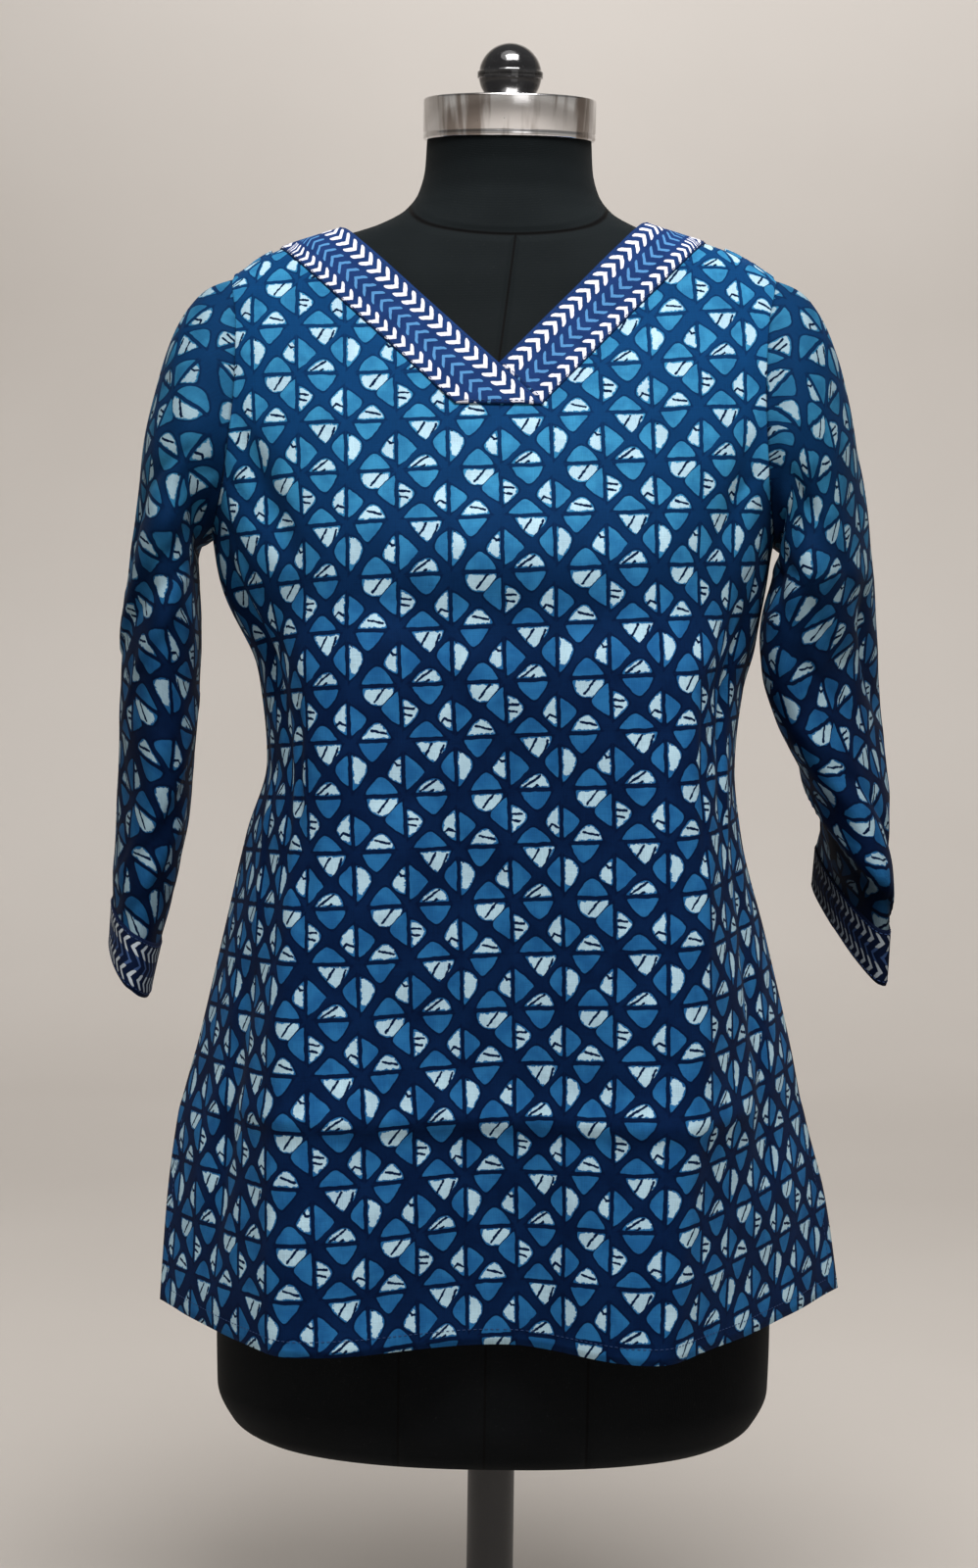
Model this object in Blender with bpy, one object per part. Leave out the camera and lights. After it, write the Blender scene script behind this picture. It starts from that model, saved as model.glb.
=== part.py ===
"""Short cotton top with a V neck and three-quarter sleeves, worn by a limbless dress form on a short stand.

Metres, +Z up. The origin is the centre of the stand's underside. The top's front faces -Y, and +X is the
wearer's left side. "left" and "right" in names and tables are the wearer's.
"""

import math
from collections import Counter

import bmesh
import bpy
import numpy as np

# Driving sizes of the top
WALL = 0.0016
SEAM_GAP = 0.0003
LAYER_GAP = 0.0005
UNDERARM_Z = 0.815
HEM_Z = 0.340
SLIT_TOP_Z = 0.458
SLIT_OPENING = 0.016
V_POINT_Z = 0.9155
BACK_NECK_Z = 0.994
BAND_WIDTH = 0.036
BAND_WALL = 0.0012
MITRE_LIMIT = 0.7
BAND_BOTTOM_Z = 0.890
CUFF_DEPTH = 0.031

# Driving sizes of the dress form and its stand
FORM_CLEARANCE = 0.0022
FORM_BOTTOM_Z = 0.252
NECK_BASE_Z = 1.030
NECK_TOP_Z = 1.068
NECK_TILT = math.radians(9.0)
CAP_RADIUS = 0.0545
CAP_HEIGHT = 0.026
KNOB_RADIUS = 0.0198
POST_RADIUS = 0.0147
BASE_RADIUS = 0.160
BASE_HEIGHT = 0.012

# How finely each piece is divided
PANEL_COLUMNS = 13
SKIRT_ROWS = 15
CHEST_ROWS = 13
BAND_COLUMNS = 3
NECKLINE_COLUMNS = 6
BAND_FIRST_ROW = 4
V_ROW = 6
CUFF_ROWS = 2
SLEEVE_ROWS = 17
FORM_POINTS = 36
CROWDED_START = 1.3
CROWDED_END = 2.2

SIDES = {"left": 1, "right": -1}


class Table:
    """Rows with named columns, read smoothly at any value of the first column."""

    def __init__(self, columns, rows):
        rows = sorted(rows)
        self.keys = np.array([row[0] for row in rows])
        self.columns = {name: np.array([row[i] for row in rows]) for i, name in enumerate(columns)}

    def at(self, name, key):
        """Cubic between the rows, with slopes limited so that it never overshoots them."""
        x, y = self.keys, self.columns[name]
        steps = np.diff(y) / np.diff(x)
        slopes = np.zeros(len(x))
        same_way = steps[1:] * steps[:-1] > 0
        slopes[1:-1][same_way] = 2 / (1 / steps[1:][same_way] + 1 / steps[:-1][same_way])
        slopes[0], slopes[-1] = steps[0], steps[-1]
        key = float(np.clip(key, x[0], x[-1]))
        i = int(np.clip(np.searchsorted(x, key) - 1, 0, len(x) - 2))
        span = x[i + 1] - x[i]
        t = (key - x[i]) / span
        return float(
            (2 * t**3 - 3 * t**2 + 1) * y[i]
            + (t**3 - 2 * t**2 + t) * span * slopes[i]
            + (3 * t**2 - 2 * t**3) * y[i + 1]
            + (t**3 - t**2) * span * slopes[i + 1]
        )


# The dress form, level by level: half its width, its depth in front of and behind the middle, and how square it is.
FORM = Table(
    ("height", "half_width", "front", "back", "squareness"),
    [
        (0.252, 0.132, 0.068, 0.076, 2.3),
        (0.256, 0.150, 0.084, 0.092, 2.3),
        (0.266, 0.164, 0.095, 0.102, 2.3),
        (0.286, 0.173, 0.101, 0.109, 2.3),
        (0.330, 0.174, 0.103, 0.111, 2.3),
        (0.420, 0.171, 0.100, 0.112, 2.3),
        (0.500, 0.158, 0.095, 0.104, 2.3),
        (0.570, 0.137, 0.088, 0.088, 2.3),
        (0.635, 0.123, 0.085, 0.078, 2.3),
        (0.700, 0.129, 0.094, 0.082, 2.3),
        (0.760, 0.143, 0.110, 0.093, 2.3),
        (0.800, 0.151, 0.115, 0.099, 2.3),
        (0.850, 0.160, 0.109, 0.103, 2.3),
        (0.900, 0.173, 0.093, 0.100, 2.4),
        (0.930, 0.181, 0.081, 0.093, 2.4),
        (0.955, 0.182, 0.071, 0.083, 2.3),
        (0.972, 0.172, 0.066, 0.076, 2.2),
        (0.984, 0.158, 0.062, 0.071, 2.1),
        (0.994, 0.139, 0.059, 0.068, 2.0),
        (1.003, 0.112, 0.056, 0.065, 2.0),
        (1.012, 0.084, 0.054, 0.062, 2.0),
        (1.022, 0.066, 0.052, 0.059, 2.0),
        (1.034, 0.057, 0.050, 0.057, 2.0),
        (1.050, 0.053, 0.050, 0.055, 2.0),
        (1.068, 0.052, 0.052, 0.053, 2.0),
    ],
)
BUST_HEIGHT = 0.785
BUST_APART = 0.076
BUST_DEPTH = 0.013
BUST_SPREAD_X = 0.050
BUST_SPREAD_Z = 0.052
BUST_FADE = 0.35
HIP_Z, CHEST_Z = 0.330, 0.930
FORM_ROWS = 18

# Ease of the top over the form, above the underarm.
EASE = Table(
    ("height", "left", "right", "depth"),
    [
        (0.700, 0.022, 0.034, 0.0020),
        (0.815, 0.018, 0.030, 0.0020),
        (0.860, 0.020, 0.026, 0.0014),
        (0.900, 0.014, 0.016, 0.0010),
        (0.930, 0.008, 0.009, 0.0010),
        (0.955, 0.004, 0.004, 0.0010),
        (0.980, 0.001, 0.001, 0.0010),
        (1.068, 0.000, 0.000, 0.0016),
    ],
)

# The skirt of the top, level by level. Each side hangs in a fold from the bust: fold_x and fold_y place its edge,
# seam_x and seam_y the side seam, back_x and back_y the softer fold behind. round is the rounding of the front fold.
SKIRT_COLUMNS = ("height", "fold_x", "fold_y", "round", "seam_x", "seam_y", "back_x", "back_y")
SKIRT = {
    "right": Table(
        SKIRT_COLUMNS,
        [
            (0.340, 0.117, -0.147, 0.016, 0.206, -0.018, 0.092, 0.146),
            (0.400, 0.120, -0.145, 0.018, 0.204, -0.012, 0.092, 0.143),
            (0.450, 0.124, -0.142, 0.020, 0.199, -0.006, 0.092, 0.139),
            (0.500, 0.125, -0.139, 0.024, 0.187, -0.004, 0.092, 0.133),
            (0.569, 0.119, -0.136, 0.028, 0.169, -0.002, 0.090, 0.124),
            (0.630, 0.113, -0.133, 0.032, 0.153, 0.000, 0.088, 0.114),
            (0.674, 0.112, -0.131, 0.036, 0.145, 0.000, 0.087, 0.108),
            (0.724, 0.113, -0.130, 0.044, 0.158, 0.000, 0.096, 0.108),
            (0.815, 0.116, -0.128, 0.060, 0.186, 0.000, 0.098, 0.109),
        ],
    ),
    "left": Table(
        SKIRT_COLUMNS,
        [
            (0.340, 0.100, -0.153, 0.012, 0.218, 0.032, 0.096, 0.143),
            (0.400, 0.104, -0.150, 0.014, 0.207, 0.021, 0.095, 0.141),
            (0.450, 0.110, -0.146, 0.016, 0.191, 0.011, 0.094, 0.138),
            (0.500, 0.115, -0.142, 0.018, 0.181, 0.004, 0.093, 0.132),
            (0.569, 0.117, -0.138, 0.022, 0.165, 0.002, 0.091, 0.123),
            (0.630, 0.116, -0.134, 0.026, 0.152, 0.000, 0.089, 0.114),
            (0.674, 0.114, -0.132, 0.030, 0.147, 0.000, 0.088, 0.108),
            (0.724, 0.111, -0.131, 0.040, 0.149, 0.000, 0.096, 0.108),
            (0.815, 0.112, -0.128, 0.060, 0.172, 0.000, 0.098, 0.109),
        ],
    ),
}
CENTRE = Table(
    ("height", "x", "front_y", "back_y"),
    [
        (0.340, 0.0045, -0.113, 0.124),
        (0.450, 0.0035, -0.116, 0.123),
        (0.569, 0.0020, -0.121, 0.113),
        (0.674, 0.0000, -0.126, 0.104),
        (0.745, -0.0020, -0.130, 0.104),
        (0.815, -0.0030, -0.131, 0.105),
        (0.9155, -0.0050, -0.100, 0.100),
        (1.068, -0.0080, -0.060, 0.070),
    ],
)
# How far each side bulges between its fold and its seam, and how much softer the folds behind are.
SIDE_BULGE = {"front": 0.030, "back": 0.070}
FOLD_SOFTNESS = {"front": 1.0, "back": 2.0}
HANG_FROM_Z = 0.800
HANG_FREE_Z = 0.735

# The armhole's edge seen from the front: how far it curves in, and its share of the rise to the shoulder.
ARMHOLE = Table(
    ("share", "inset", "rise"),
    [
        (0.00, 0.000, 0.000),
        (0.12, 0.004, 0.066),
        (0.30, 0.009, 0.247),
        (0.55, 0.011, 0.524),
        (0.80, 0.008, 0.801),
        (1.00, 0.000, 1.000),
    ],
)
SHOULDER_TIP = {"left": 0.168, "right": 0.172}
NECK_POINT = {"left": 0.086, "right": 0.104}

# Soft folds pressed into the panels: height and distance from the middle at both ends, half width, and depth.
FOLD_COLUMNS = ("panel", "side", "top_z", "top_s", "low_z", "low_s", "spread", "depth")
PANEL_FOLDS = [
    ("front", "right", 0.900, 0.175, 0.790, 0.128, 0.013, -0.006),
    ("front", "right", 0.835, 0.205, 0.700, 0.170, 0.012, -0.006),
    ("front", "left", 0.895, 0.172, 0.800, 0.140, 0.012, -0.005),
    ("front", "left", 0.810, 0.190, 0.640, 0.158, 0.011, -0.005),
    ("front", "left", 0.640, 0.185, 0.420, 0.215, 0.014, -0.005),
    ("front", "right", 0.560, 0.180, 0.360, 0.215, 0.015, -0.006),
    ("back", "right", 0.880, 0.150, 0.700, 0.125, 0.016, 0.005),
    ("back", "left", 0.880, 0.150, 0.700, 0.125, 0.016, 0.005),
    ("back", "right", 0.640, 0.170, 0.360, 0.195, 0.018, -0.006),
    ("back", "left", 0.660, 0.165, 0.370, 0.200, 0.018, -0.007),
    ("back", "left", 0.690, 0.030, 0.360, 0.042, 0.022, -0.004),
    ("back", "right", 0.690, 0.034, 0.360, 0.050, 0.022, -0.004),
]

# The hanging sleeves, section by section: centre, half the flat width, half the thickness, the angle that the
# front edge turns outward from straight ahead, and how far the front edge hangs below the centre.
SLEEVE_COLUMNS = ("height", "x", "y", "half_width", "half_thickness", "turn", "front_drop")
SLEEVE = {
    "left": Table(
        SLEEVE_COLUMNS,
        [
            (0.570, 0.2200, -0.002, 0.056, 0.0090, 13.0, 0.025),
            (0.601, 0.2215, -0.001, 0.057, 0.0110, 11.5, 0.022),
            (0.624, 0.2225, 0.000, 0.059, 0.0145, 6.0, 0.013),
            (0.652, 0.2220, 0.001, 0.061, 0.0180, -6.0, 0.006),
            (0.676, 0.2180, 0.002, 0.064, 0.0195, -16.0, 0.002),
            (0.700, 0.2115, 0.003, 0.067, 0.0200, -23.0, 0.000),
            (0.733, 0.2045, 0.003, 0.070, 0.0205, -27.0, 0.000),
            (0.765, 0.2030, 0.003, 0.073, 0.0205, -22.0, 0.000),
            (0.795, 0.2045, 0.003, 0.076, 0.0205, -15.0, 0.000),
        ],
    ),
    "right": Table(
        SLEEVE_COLUMNS,
        [
            (0.543, 0.2315, -0.002, 0.056, 0.0095, -8.0, 0.012),
            (0.574, 0.2290, -0.001, 0.057, 0.0115, -8.0, 0.009),
            (0.594, 0.2260, 0.000, 0.059, 0.0140, -8.0, 0.006),
            (0.615, 0.2230, 0.001, 0.061, 0.0165, -8.0, 0.001),
            (0.640, 0.2200, 0.001, 0.063, 0.0185, -8.0, 0.000),
            (0.675, 0.2170, 0.002, 0.066, 0.0190, -8.0, 0.000),
            (0.711, 0.2150, 0.003, 0.069, 0.0190, -8.0, 0.000),
            (0.760, 0.2145, 0.003, 0.073, 0.0175, -8.0, 0.000),
            (0.795, 0.2145, 0.003, 0.076, 0.0165, -6.0, 0.000),
        ],
    ),
}
SLEEVE_FLATNESS = 1.7
SLEEVE_EDGE_ROUNDNESS = 2.2
CROWN_ROWS = 7
CROWN_OUT = 0.042
UNDERARM_OUT = 0.020
CROWN_SPREAD = 0.22
CROWN_LEAN = 0.010
CROWN_HANG = 0.085
UNDERARM_HANG = 0.012

# Folds round the hanging sleeves: place round the sleeve (0 inner, 90 front, 180 outer) at both ends of the fold.
SLEEVE_FOLDS = {
    "left": [
        (0.800, 150.0, 0.700, 205.0, 16.0, -0.006),
        (0.860, 100.0, 0.770, 60.0, 15.0, -0.006),
        (0.690, 100.0, 0.600, 170.0, 18.0, -0.004),
        (0.720, 300.0, 0.620, 260.0, 18.0, -0.005),
    ],
    "right": [
        (0.860, 110.0, 0.780, 165.0, 16.0, -0.007),
        (0.820, 80.0, 0.740, 120.0, 14.0, -0.005),
        (0.700, 140.0, 0.600, 110.0, 18.0, -0.004),
        (0.740, 300.0, 0.630, 255.0, 18.0, -0.005),
    ],
}

COLOURS = {
    "printed_cotton": ((0.035, 0.085, 0.255), 0.85, 0.0),
    "border_cotton": ((0.030, 0.050, 0.190), 0.85, 0.0),
    "form_cloth": ((0.012, 0.014, 0.016), 0.80, 0.0),
    "chrome": ((0.780, 0.770, 0.750), 0.12, 1.0),
    "black_plastic": ((0.012, 0.012, 0.012), 0.20, 0.0),
    "black_steel": ((0.014, 0.014, 0.015), 0.45, 0.6),
}


def smoothstep(low, high, value):
    t = min(1.0, max(0.0, (value - low) / (high - low)))
    return t * t * (3 - 2 * t)


def material(name):
    found = bpy.data.materials.get(name)
    if found:
        return found
    colour, roughness, metallic = COLOURS[name]
    made = bpy.data.materials.new(name)
    made.use_nodes = True
    shader = made.node_tree.nodes["Principled BSDF"]
    shader.inputs["Base Color"].default_value = (*colour, 1.0)
    shader.inputs["Roughness"].default_value = roughness
    shader.inputs["Metallic"].default_value = metallic
    return made


def add_object(name, mesh, finish):
    obj = bpy.data.objects.new(name, mesh)
    bpy.context.scene.collection.objects.link(obj)
    mesh.materials.append(material(finish))
    mesh.shade_smooth()
    return obj


def unit(vectors):
    return vectors / np.maximum(np.linalg.norm(vectors, axis=-1, keepdims=True), 1e-9)


def grid_normals(grid, closed=False):
    """Unit normals of a grid of points, turned away from the line through its rows' middles."""
    wide = np.concatenate([grid[:, -1:], grid, grid[:, :1]], axis=1) if closed else grid
    across = np.gradient(wide, axis=1)
    if closed:
        across = across[:, 1:-1]
    normals = unit(np.cross(across, np.gradient(grid, axis=0)))
    away = grid - grid.mean(axis=1, keepdims=True) if closed else grid * np.array([1, 1, 0])
    return normals if (normals * away).sum() > 0 else -normals


def wall_object(name, layers, finish, closed=False):
    """A closed wall between inner and outer grids of points. closed joins each row's last point to its first.

    Every rim is split the same way, from the lower inner point, so that two rims along one seam never touch.
    """
    numbers, inner_points, outer_points, faces = {}, [], [], []
    for inner, outer in layers:
        grid = []
        for inner_row, outer_row in zip(inner, outer):
            row = []
            for point, over in zip(inner_row, outer_row):
                key = tuple(np.round(point, 6))
                if key not in numbers:
                    numbers[key] = len(inner_points)
                    inner_points.append(point)
                    outer_points.append(over)
                row.append(numbers[key])
            grid.append(row)
        for low, high in zip(grid, grid[1:]):
            for i in range(len(low) if closed else len(low) - 1):
                j = (i + 1) % len(low)
                faces.append((low[i], low[j], high[j], high[i]))
    count = len(inner_points)
    uses = Counter(frozenset(pair) for face in faces for pair in zip(face, face[1:] + face[:1]))
    rims = []
    for edge in (edge for edge, used in uses.items() if used == 1):
        low, high = sorted(edge, key=lambda i: (round(float(inner_points[i][2]), 5), i))
        rims += [(low, high, high + count), (low, high + count, low + count)]
    outer_faces = [tuple(i + count for i in face) for face in faces]
    mesh = bpy.data.meshes.new(name)
    mesh.from_pydata([tuple(p) for p in inner_points + outer_points], [], faces + outer_faces + rims)
    bm = bmesh.new()
    bm.from_mesh(mesh)
    bmesh.ops.recalc_face_normals(bm, faces=bm.faces)
    bm.to_mesh(mesh)
    bm.free()
    return add_object(name, mesh, finish)


def resampled(points, count):
    """The same path with evenly spaced points."""
    points = np.array(points)
    lengths = np.concatenate([[0], np.cumsum(np.linalg.norm(np.diff(points, axis=0), axis=1))])
    wanted = np.linspace(0, lengths[-1], count)
    return np.stack([np.interp(wanted, lengths, points[:, k]) for k in range(points.shape[1])], axis=1)


def oval_depth(x, half_width, depth, squareness):
    share = min(1.0, abs(x) / half_width)
    return depth * (1 - share**squareness) ** (1 / squareness)


def bust_depth(x, z, bridged):
    """How far the bust stands in front of the plain oval. Cloth bridges straight across between its two sides."""
    off = abs(x) - BUST_APART
    if bridged:
        off = max(0.0, off)
    return BUST_DEPTH * math.exp(-((off / BUST_SPREAD_X) ** 2) - ((z - BUST_HEIGHT) / BUST_SPREAD_Z) ** 2)


def body_half_width(side, z):
    """Half width of the top's own oval at a height, above the hanging skirt."""
    return FORM.at("half_width", z - FORM_CLEARANCE) + EASE.at(side, z) + FORM_CLEARANCE / 2


def body_depth(panel, side, x, z):
    """Depth of the inner side of the cloth on the form, for any x and z above the hanging skirt."""
    depth = FORM.at(panel, z - FORM_CLEARANCE) + FORM_CLEARANCE + EASE.at("depth", z)
    found = oval_depth(x, body_half_width(side, z), depth, FORM.at("squareness", z))
    if panel == "front" and found > 0:
        found += bust_depth(x, z, bridged=True)
    return found


def snug_section(panel, side, z, count):
    """The level section of the cloth on the form, from the middle line to the side, as (x, depth)."""
    width = body_half_width(side, z)
    middle = CENTRE.at("x", z) * SIDES[side]
    turns = np.linspace(0, math.pi / 2, 60)
    xs = middle + (width - middle) * np.sin(turns)
    return resampled([(x, body_depth(panel, side, x, z)) for x in xs], count)


def hanging_section(panel, side, z, count):
    """The level section of the hanging skirt, from the middle line round the fold to the side seam."""
    table = SKIRT[side]
    front = panel == "front"
    middle = np.array([CENTRE.at("x", z) * SIDES[side], abs(CENTRE.at(panel + "_y", z))])
    fold_x, fold_y = ("fold_x", "fold_y") if front else ("back_x", "back_y")
    fold = np.array([table.at(fold_x, z), abs(table.at(fold_y, z))])
    seam = np.array([table.at("seam_x", z), table.at("seam_y", z) * (-1 if front else 1)])
    rounding = table.at("round", z) * FOLD_SOFTNESS[panel]
    across = np.linspace(0, 1, 24)
    path = [
        (middle[0] + (fold[0] - rounding - middle[0]) * t,
         middle[1] + (fold[1] - middle[1]) * (0.5 - 0.5 * math.cos(math.pi * t)))
        for t in across
    ]
    aside = (seam - fold) / np.linalg.norm(seam - fold)
    start, end = np.array([fold[0] - rounding, fold[1]]), fold + rounding * aside
    path += [tuple((1 - t) ** 2 * start + 2 * t * (1 - t) * fold + t * t * end) for t in across[1:]]
    outward = np.array([-aside[1], aside[0]])
    if outward[0] < 0:
        outward = -outward
    bulge = SIDE_BULGE[panel] * np.linalg.norm(seam - end)
    path += [tuple(end + (seam - end) * t + outward * bulge * math.sin(math.pi * t)) for t in across[1:]]
    return resampled(path, count)


def skirt_section(panel, side, z, count):
    snug = snug_section(panel, side, z, count)
    free = 1 - smoothstep(HANG_FREE_Z, HANG_FROM_Z, z)
    if free <= 0:
        return snug
    return snug + (hanging_section(panel, side, z, count) - snug) * free


def armhole_point(side, share):
    """A point on the armhole's edge, seen from the front, as (x, z)."""
    low, high = body_half_width(side, UNDERARM_Z), SHOULDER_TIP[side]
    x = low + (high - low) * share - ARMHOLE.at("inset", share)
    z = UNDERARM_Z + (ridge_height(side, high) - UNDERARM_Z) * ARMHOLE.at("rise", share)
    return np.array([x, z])


def ridge_height(side, x):
    """Height of the shoulder line above a distance from the middle."""
    zs = np.linspace(0.95, 1.03, 161)
    widths = np.array([body_half_width(side, z) for z in zs])
    return float(np.interp(-x, -widths, zs))


def coons(bottom, top, inner, outer):
    """The patch of points inside four edges, each given as points; rows run from bottom to top."""
    rows, columns = len(inner), len(bottom)
    u = np.linspace(0, 1, columns)[None, :, None]
    v = np.linspace(0, 1, rows)[:, None, None]
    corners = (
        (1 - u) * (1 - v) * bottom[0] + u * (1 - v) * bottom[-1] + (1 - u) * v * top[0] + u * v * top[-1]
    )
    return (1 - v) * bottom[None] + v * top[None] + (1 - u) * inner[:, None] + u * outer[:, None] - corners


def neckline(side):
    """Seen from the front: the V point, the neck point, and the directions along the neckline and across the band."""
    point = np.array([CENTRE.at("x", V_POINT_Z) * SIDES[side], V_POINT_Z])
    neck = np.array([NECK_POINT[side], ridge_height(side, NECK_POINT[side])])
    along = (neck - point) / np.linalg.norm(neck - point)
    return point, neck, along, np.array([along[1], -along[0]])


def middle_point(side, z):
    return np.array([CENTRE.at("x", z) * SIDES[side], z])


def crowded(count):
    """Shares from 0 to 1 that lie closer together at both ends, most of all towards 1."""
    return 1 - (1 - np.linspace(0, 1, count) ** CROWDED_START) ** CROWDED_END


def between(start, end, shares):
    return np.array([start + (end - start) * share for share in shares])


def shoulder_line(side, start_x, count):
    xs = np.linspace(start_x, SHOULDER_TIP[side], count)
    return np.array([(x, ridge_height(side, x)) for x in xs])


def armhole_line(side):
    return np.array([armhole_point(side, share) for share in crowded(CHEST_ROWS)])


def underarm_row(panel, side):
    row = snug_section(panel, side, UNDERARM_Z, PANEL_COLUMNS)
    return np.stack([row[:, 0], np.full(PANEL_COLUMNS, UNDERARM_Z)], axis=1)


def front_chest(side):
    """The front above the underarm as points (x, z). Its first columns follow the neckline's band."""
    low = underarm_row("front", side)
    point, neck, along, across = neckline(side)
    foot = middle_point(side, BAND_BOTTOM_Z)
    upper_rows = CHEST_ROWS - V_ROW
    inner = np.concatenate([
        between(low[0], foot, np.linspace(0, 1, BAND_FIRST_ROW + 1)),
        between(foot, point, np.linspace(0, 1, V_ROW - BAND_FIRST_ROW + 1))[1:],
        between(point, neck, crowded(upper_rows))[1:],
    ])
    outer_foot = point + across * BAND_WIDTH
    outer_foot = outer_foot + along * (BAND_BOTTOM_Z - outer_foot[1]) / along[1]
    steps = (neck + across * BAND_WIDTH + along * reach for reach in np.linspace(-0.02, 0.05, 281))
    head_x = next(step[0] for step in steps if step[1] > ridge_height(side, step[0]))
    outer_head = np.array([head_x, ridge_height(side, head_x)])
    foot_share = (V_POINT_Z - BAND_BOTTOM_Z) / (neck[1] - BAND_BOTTOM_Z)
    shares = np.concatenate([
        np.linspace(0, foot_share, V_ROW - BAND_FIRST_ROW + 1),
        foot_share + (1 - foot_share) * crowded(upper_rows)[1:],
    ])
    edge = np.concatenate([
        between(low[BAND_COLUMNS], outer_foot, np.linspace(0, 1, BAND_FIRST_ROW + 1)),
        between(outer_foot, outer_head, shares)[1:],
    ])
    band_top = np.array([
        (x, ridge_height(side, x)) for x in np.linspace(neck[0], outer_head[0], BAND_COLUMNS + 1)
    ])
    strip = coons(low[:BAND_COLUMNS + 1], band_top, inner, edge)
    rest_top = shoulder_line(side, outer_head[0], PANEL_COLUMNS - BAND_COLUMNS)
    rest = coons(low[BAND_COLUMNS:], rest_top, edge, armhole_line(side))
    return np.concatenate([strip[:, :-1], rest], axis=1)


def back_chest(side):
    """The back above the underarm as points (x, z), up to the neckline and the shoulder."""
    low = underarm_row("back", side)
    nape = middle_point(side, BACK_NECK_Z)
    neck = np.array([NECK_POINT[side], ridge_height(side, NECK_POINT[side])])
    inner = between(low[0], nape, crowded(CHEST_ROWS))
    curve = [nape + (neck - nape) * np.array([t, t**3]) for t in crowded(NECKLINE_COLUMNS + 1)]
    shoulder = shoulder_line(side, neck[0], PANEL_COLUMNS - NECKLINE_COLUMNS)
    return coons(low, np.concatenate([curve[:-1], shoulder]), inner, armhole_line(side))


def on_body(panel, side, x, z):
    """The point of the cloth's inner side at x and z on one side of the body."""
    depth = max(SEAM_GAP / 2, body_depth(panel, side, x, z))
    return (SIDES[side] * x, -depth if panel == "front" else depth, z)


def panel_half(panel, side):
    """The inner side of half a panel as a grid of points, from the hem up to the shoulder."""
    front = panel == "front"
    grid = []
    for z in np.linspace(HEM_Z, UNDERARM_Z, SKIRT_ROWS + 1)[:-1]:
        section = skirt_section(panel, side, z, PANEL_COLUMNS)
        parted = SEAM_GAP / 2 + SLIT_OPENING / 2 * (1 - smoothstep(HEM_Z, SLIT_TOP_Z, z)) ** 2
        depths = section[:, 1] + parted * np.linspace(0, 1, PANEL_COLUMNS) ** 6
        grid.append([(SIDES[side] * x, -y if front else y, z) for x, y in zip(section[:, 0], depths)])
    for row in front_chest(side) if front else back_chest(side):
        grid.append([on_body(panel, side, x, z) for x, z in row])
    return np.array(grid)


def fold_depth(folds, height, place):
    """Depth of the soft folds at a height and a place across the cloth, each fading out at its two ends."""
    total = 0.0
    for top_z, top_s, low_z, low_s, spread, depth in folds:
        t = (top_z - height) / (top_z - low_z)
        if not 0 < t < 1:
            continue
        line = top_s + (low_s - top_s) * t
        total += depth * math.sin(math.pi * t) ** 0.8 * math.exp(-(((place - line) / spread) ** 2))
    return total


def folded_half(panel, side):
    """Half a panel with its soft folds, which fade out towards its edges."""
    grid = panel_half(panel, side)
    folds = [row[2:] for row in PANEL_FOLDS if row[:2] == (panel, side)]
    normals = grid_normals(grid)
    lengths = np.linalg.norm(np.diff(grid, axis=1), axis=2)
    places = np.concatenate([np.zeros((len(grid), 1)), np.cumsum(lengths, axis=1)], axis=1)
    held = np.sin(math.pi * np.linspace(0, 1, PANEL_COLUMNS)) ** 0.5
    for j, row in enumerate(grid):
        for i in range(PANEL_COLUMNS):
            depth = fold_depth(folds, row[i][2], places[j][i]) * held[i]
            grid[j][i] = row[i] + normals[j][i] * depth
    return grid


def panel_layers(panel):
    """The inner and outer grids of both halves of a panel. At a seam the outer side stays behind the seam's plane."""
    front = panel == "front"
    inner = {side: folded_half(panel, side) for side in SIDES}
    normals = {side: grid_normals(inner[side]) for side in SIDES}
    joined = SKIRT_ROWS + V_ROW + 1 if front else SKIRT_ROWS + CHEST_ROWS
    for grids in (inner, normals):
        middle = (grids["left"][:joined, 0] + grids["right"][:joined, 0]) / 2
        grids["left"][:joined, 0] = middle
        grids["right"][:joined, 0] = middle
    layers = {}
    for side, sign in SIDES.items():
        directions = unit(normals[side])
        directions[:SKIRT_ROWS + 1, -1] = (sign, 0, 0)
        directions[-1, 0 if front else NECKLINE_COLUMNS:] = (0, 0, 1)
        directions[-1, -1] = unit(np.array([sign * 0.5, 0, 1]))
        outer = inner[side] + directions * WALL
        for grid in (inner[side], outer):
            chest = grid[SKIRT_ROWS:, :, 1]
            chest[:] = np.minimum(chest, -SEAM_GAP / 2) if front else np.maximum(chest, SEAM_GAP / 2)
        layers[side] = (inner[side], outer, directions)
    return layers


def build_panel(panel, layers):
    return wall_object(panel + "_panel", [layers[side][:2] for side in SIDES], "printed_cotton")


def build_band(side, layers):
    """The band lies on the front panel: its points are the panel's outer points, moved out."""
    inner, outer, directions = (grid[SKIRT_ROWS + BAND_FIRST_ROW:, :BAND_COLUMNS + 1] for grid in layers[side])
    under = outer + directions * LAYER_GAP
    over = outer + directions * (LAYER_GAP + BAND_WALL)
    for grid in (under, over):
        grid[:V_ROW - BAND_FIRST_ROW + 1, 0, 0] += SIDES[side] * SEAM_GAP / 2
        grid[:, :, 1] = np.minimum(grid[:, :, 1], -SEAM_GAP / 2)
    return wall_object("neck_band_" + side, [(under, over)], "border_cotton")


def armhole_ring(front, back):
    """The values along both panels' armhole edges as a ring, from the underarm up the front and down the back."""
    ring = np.concatenate([front[SKIRT_ROWS:, -1], back[SKIRT_ROWS:, -1][-2:0:-1]])
    ring[[0, CHEST_ROWS - 1], 1] = 0
    return ring


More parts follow.
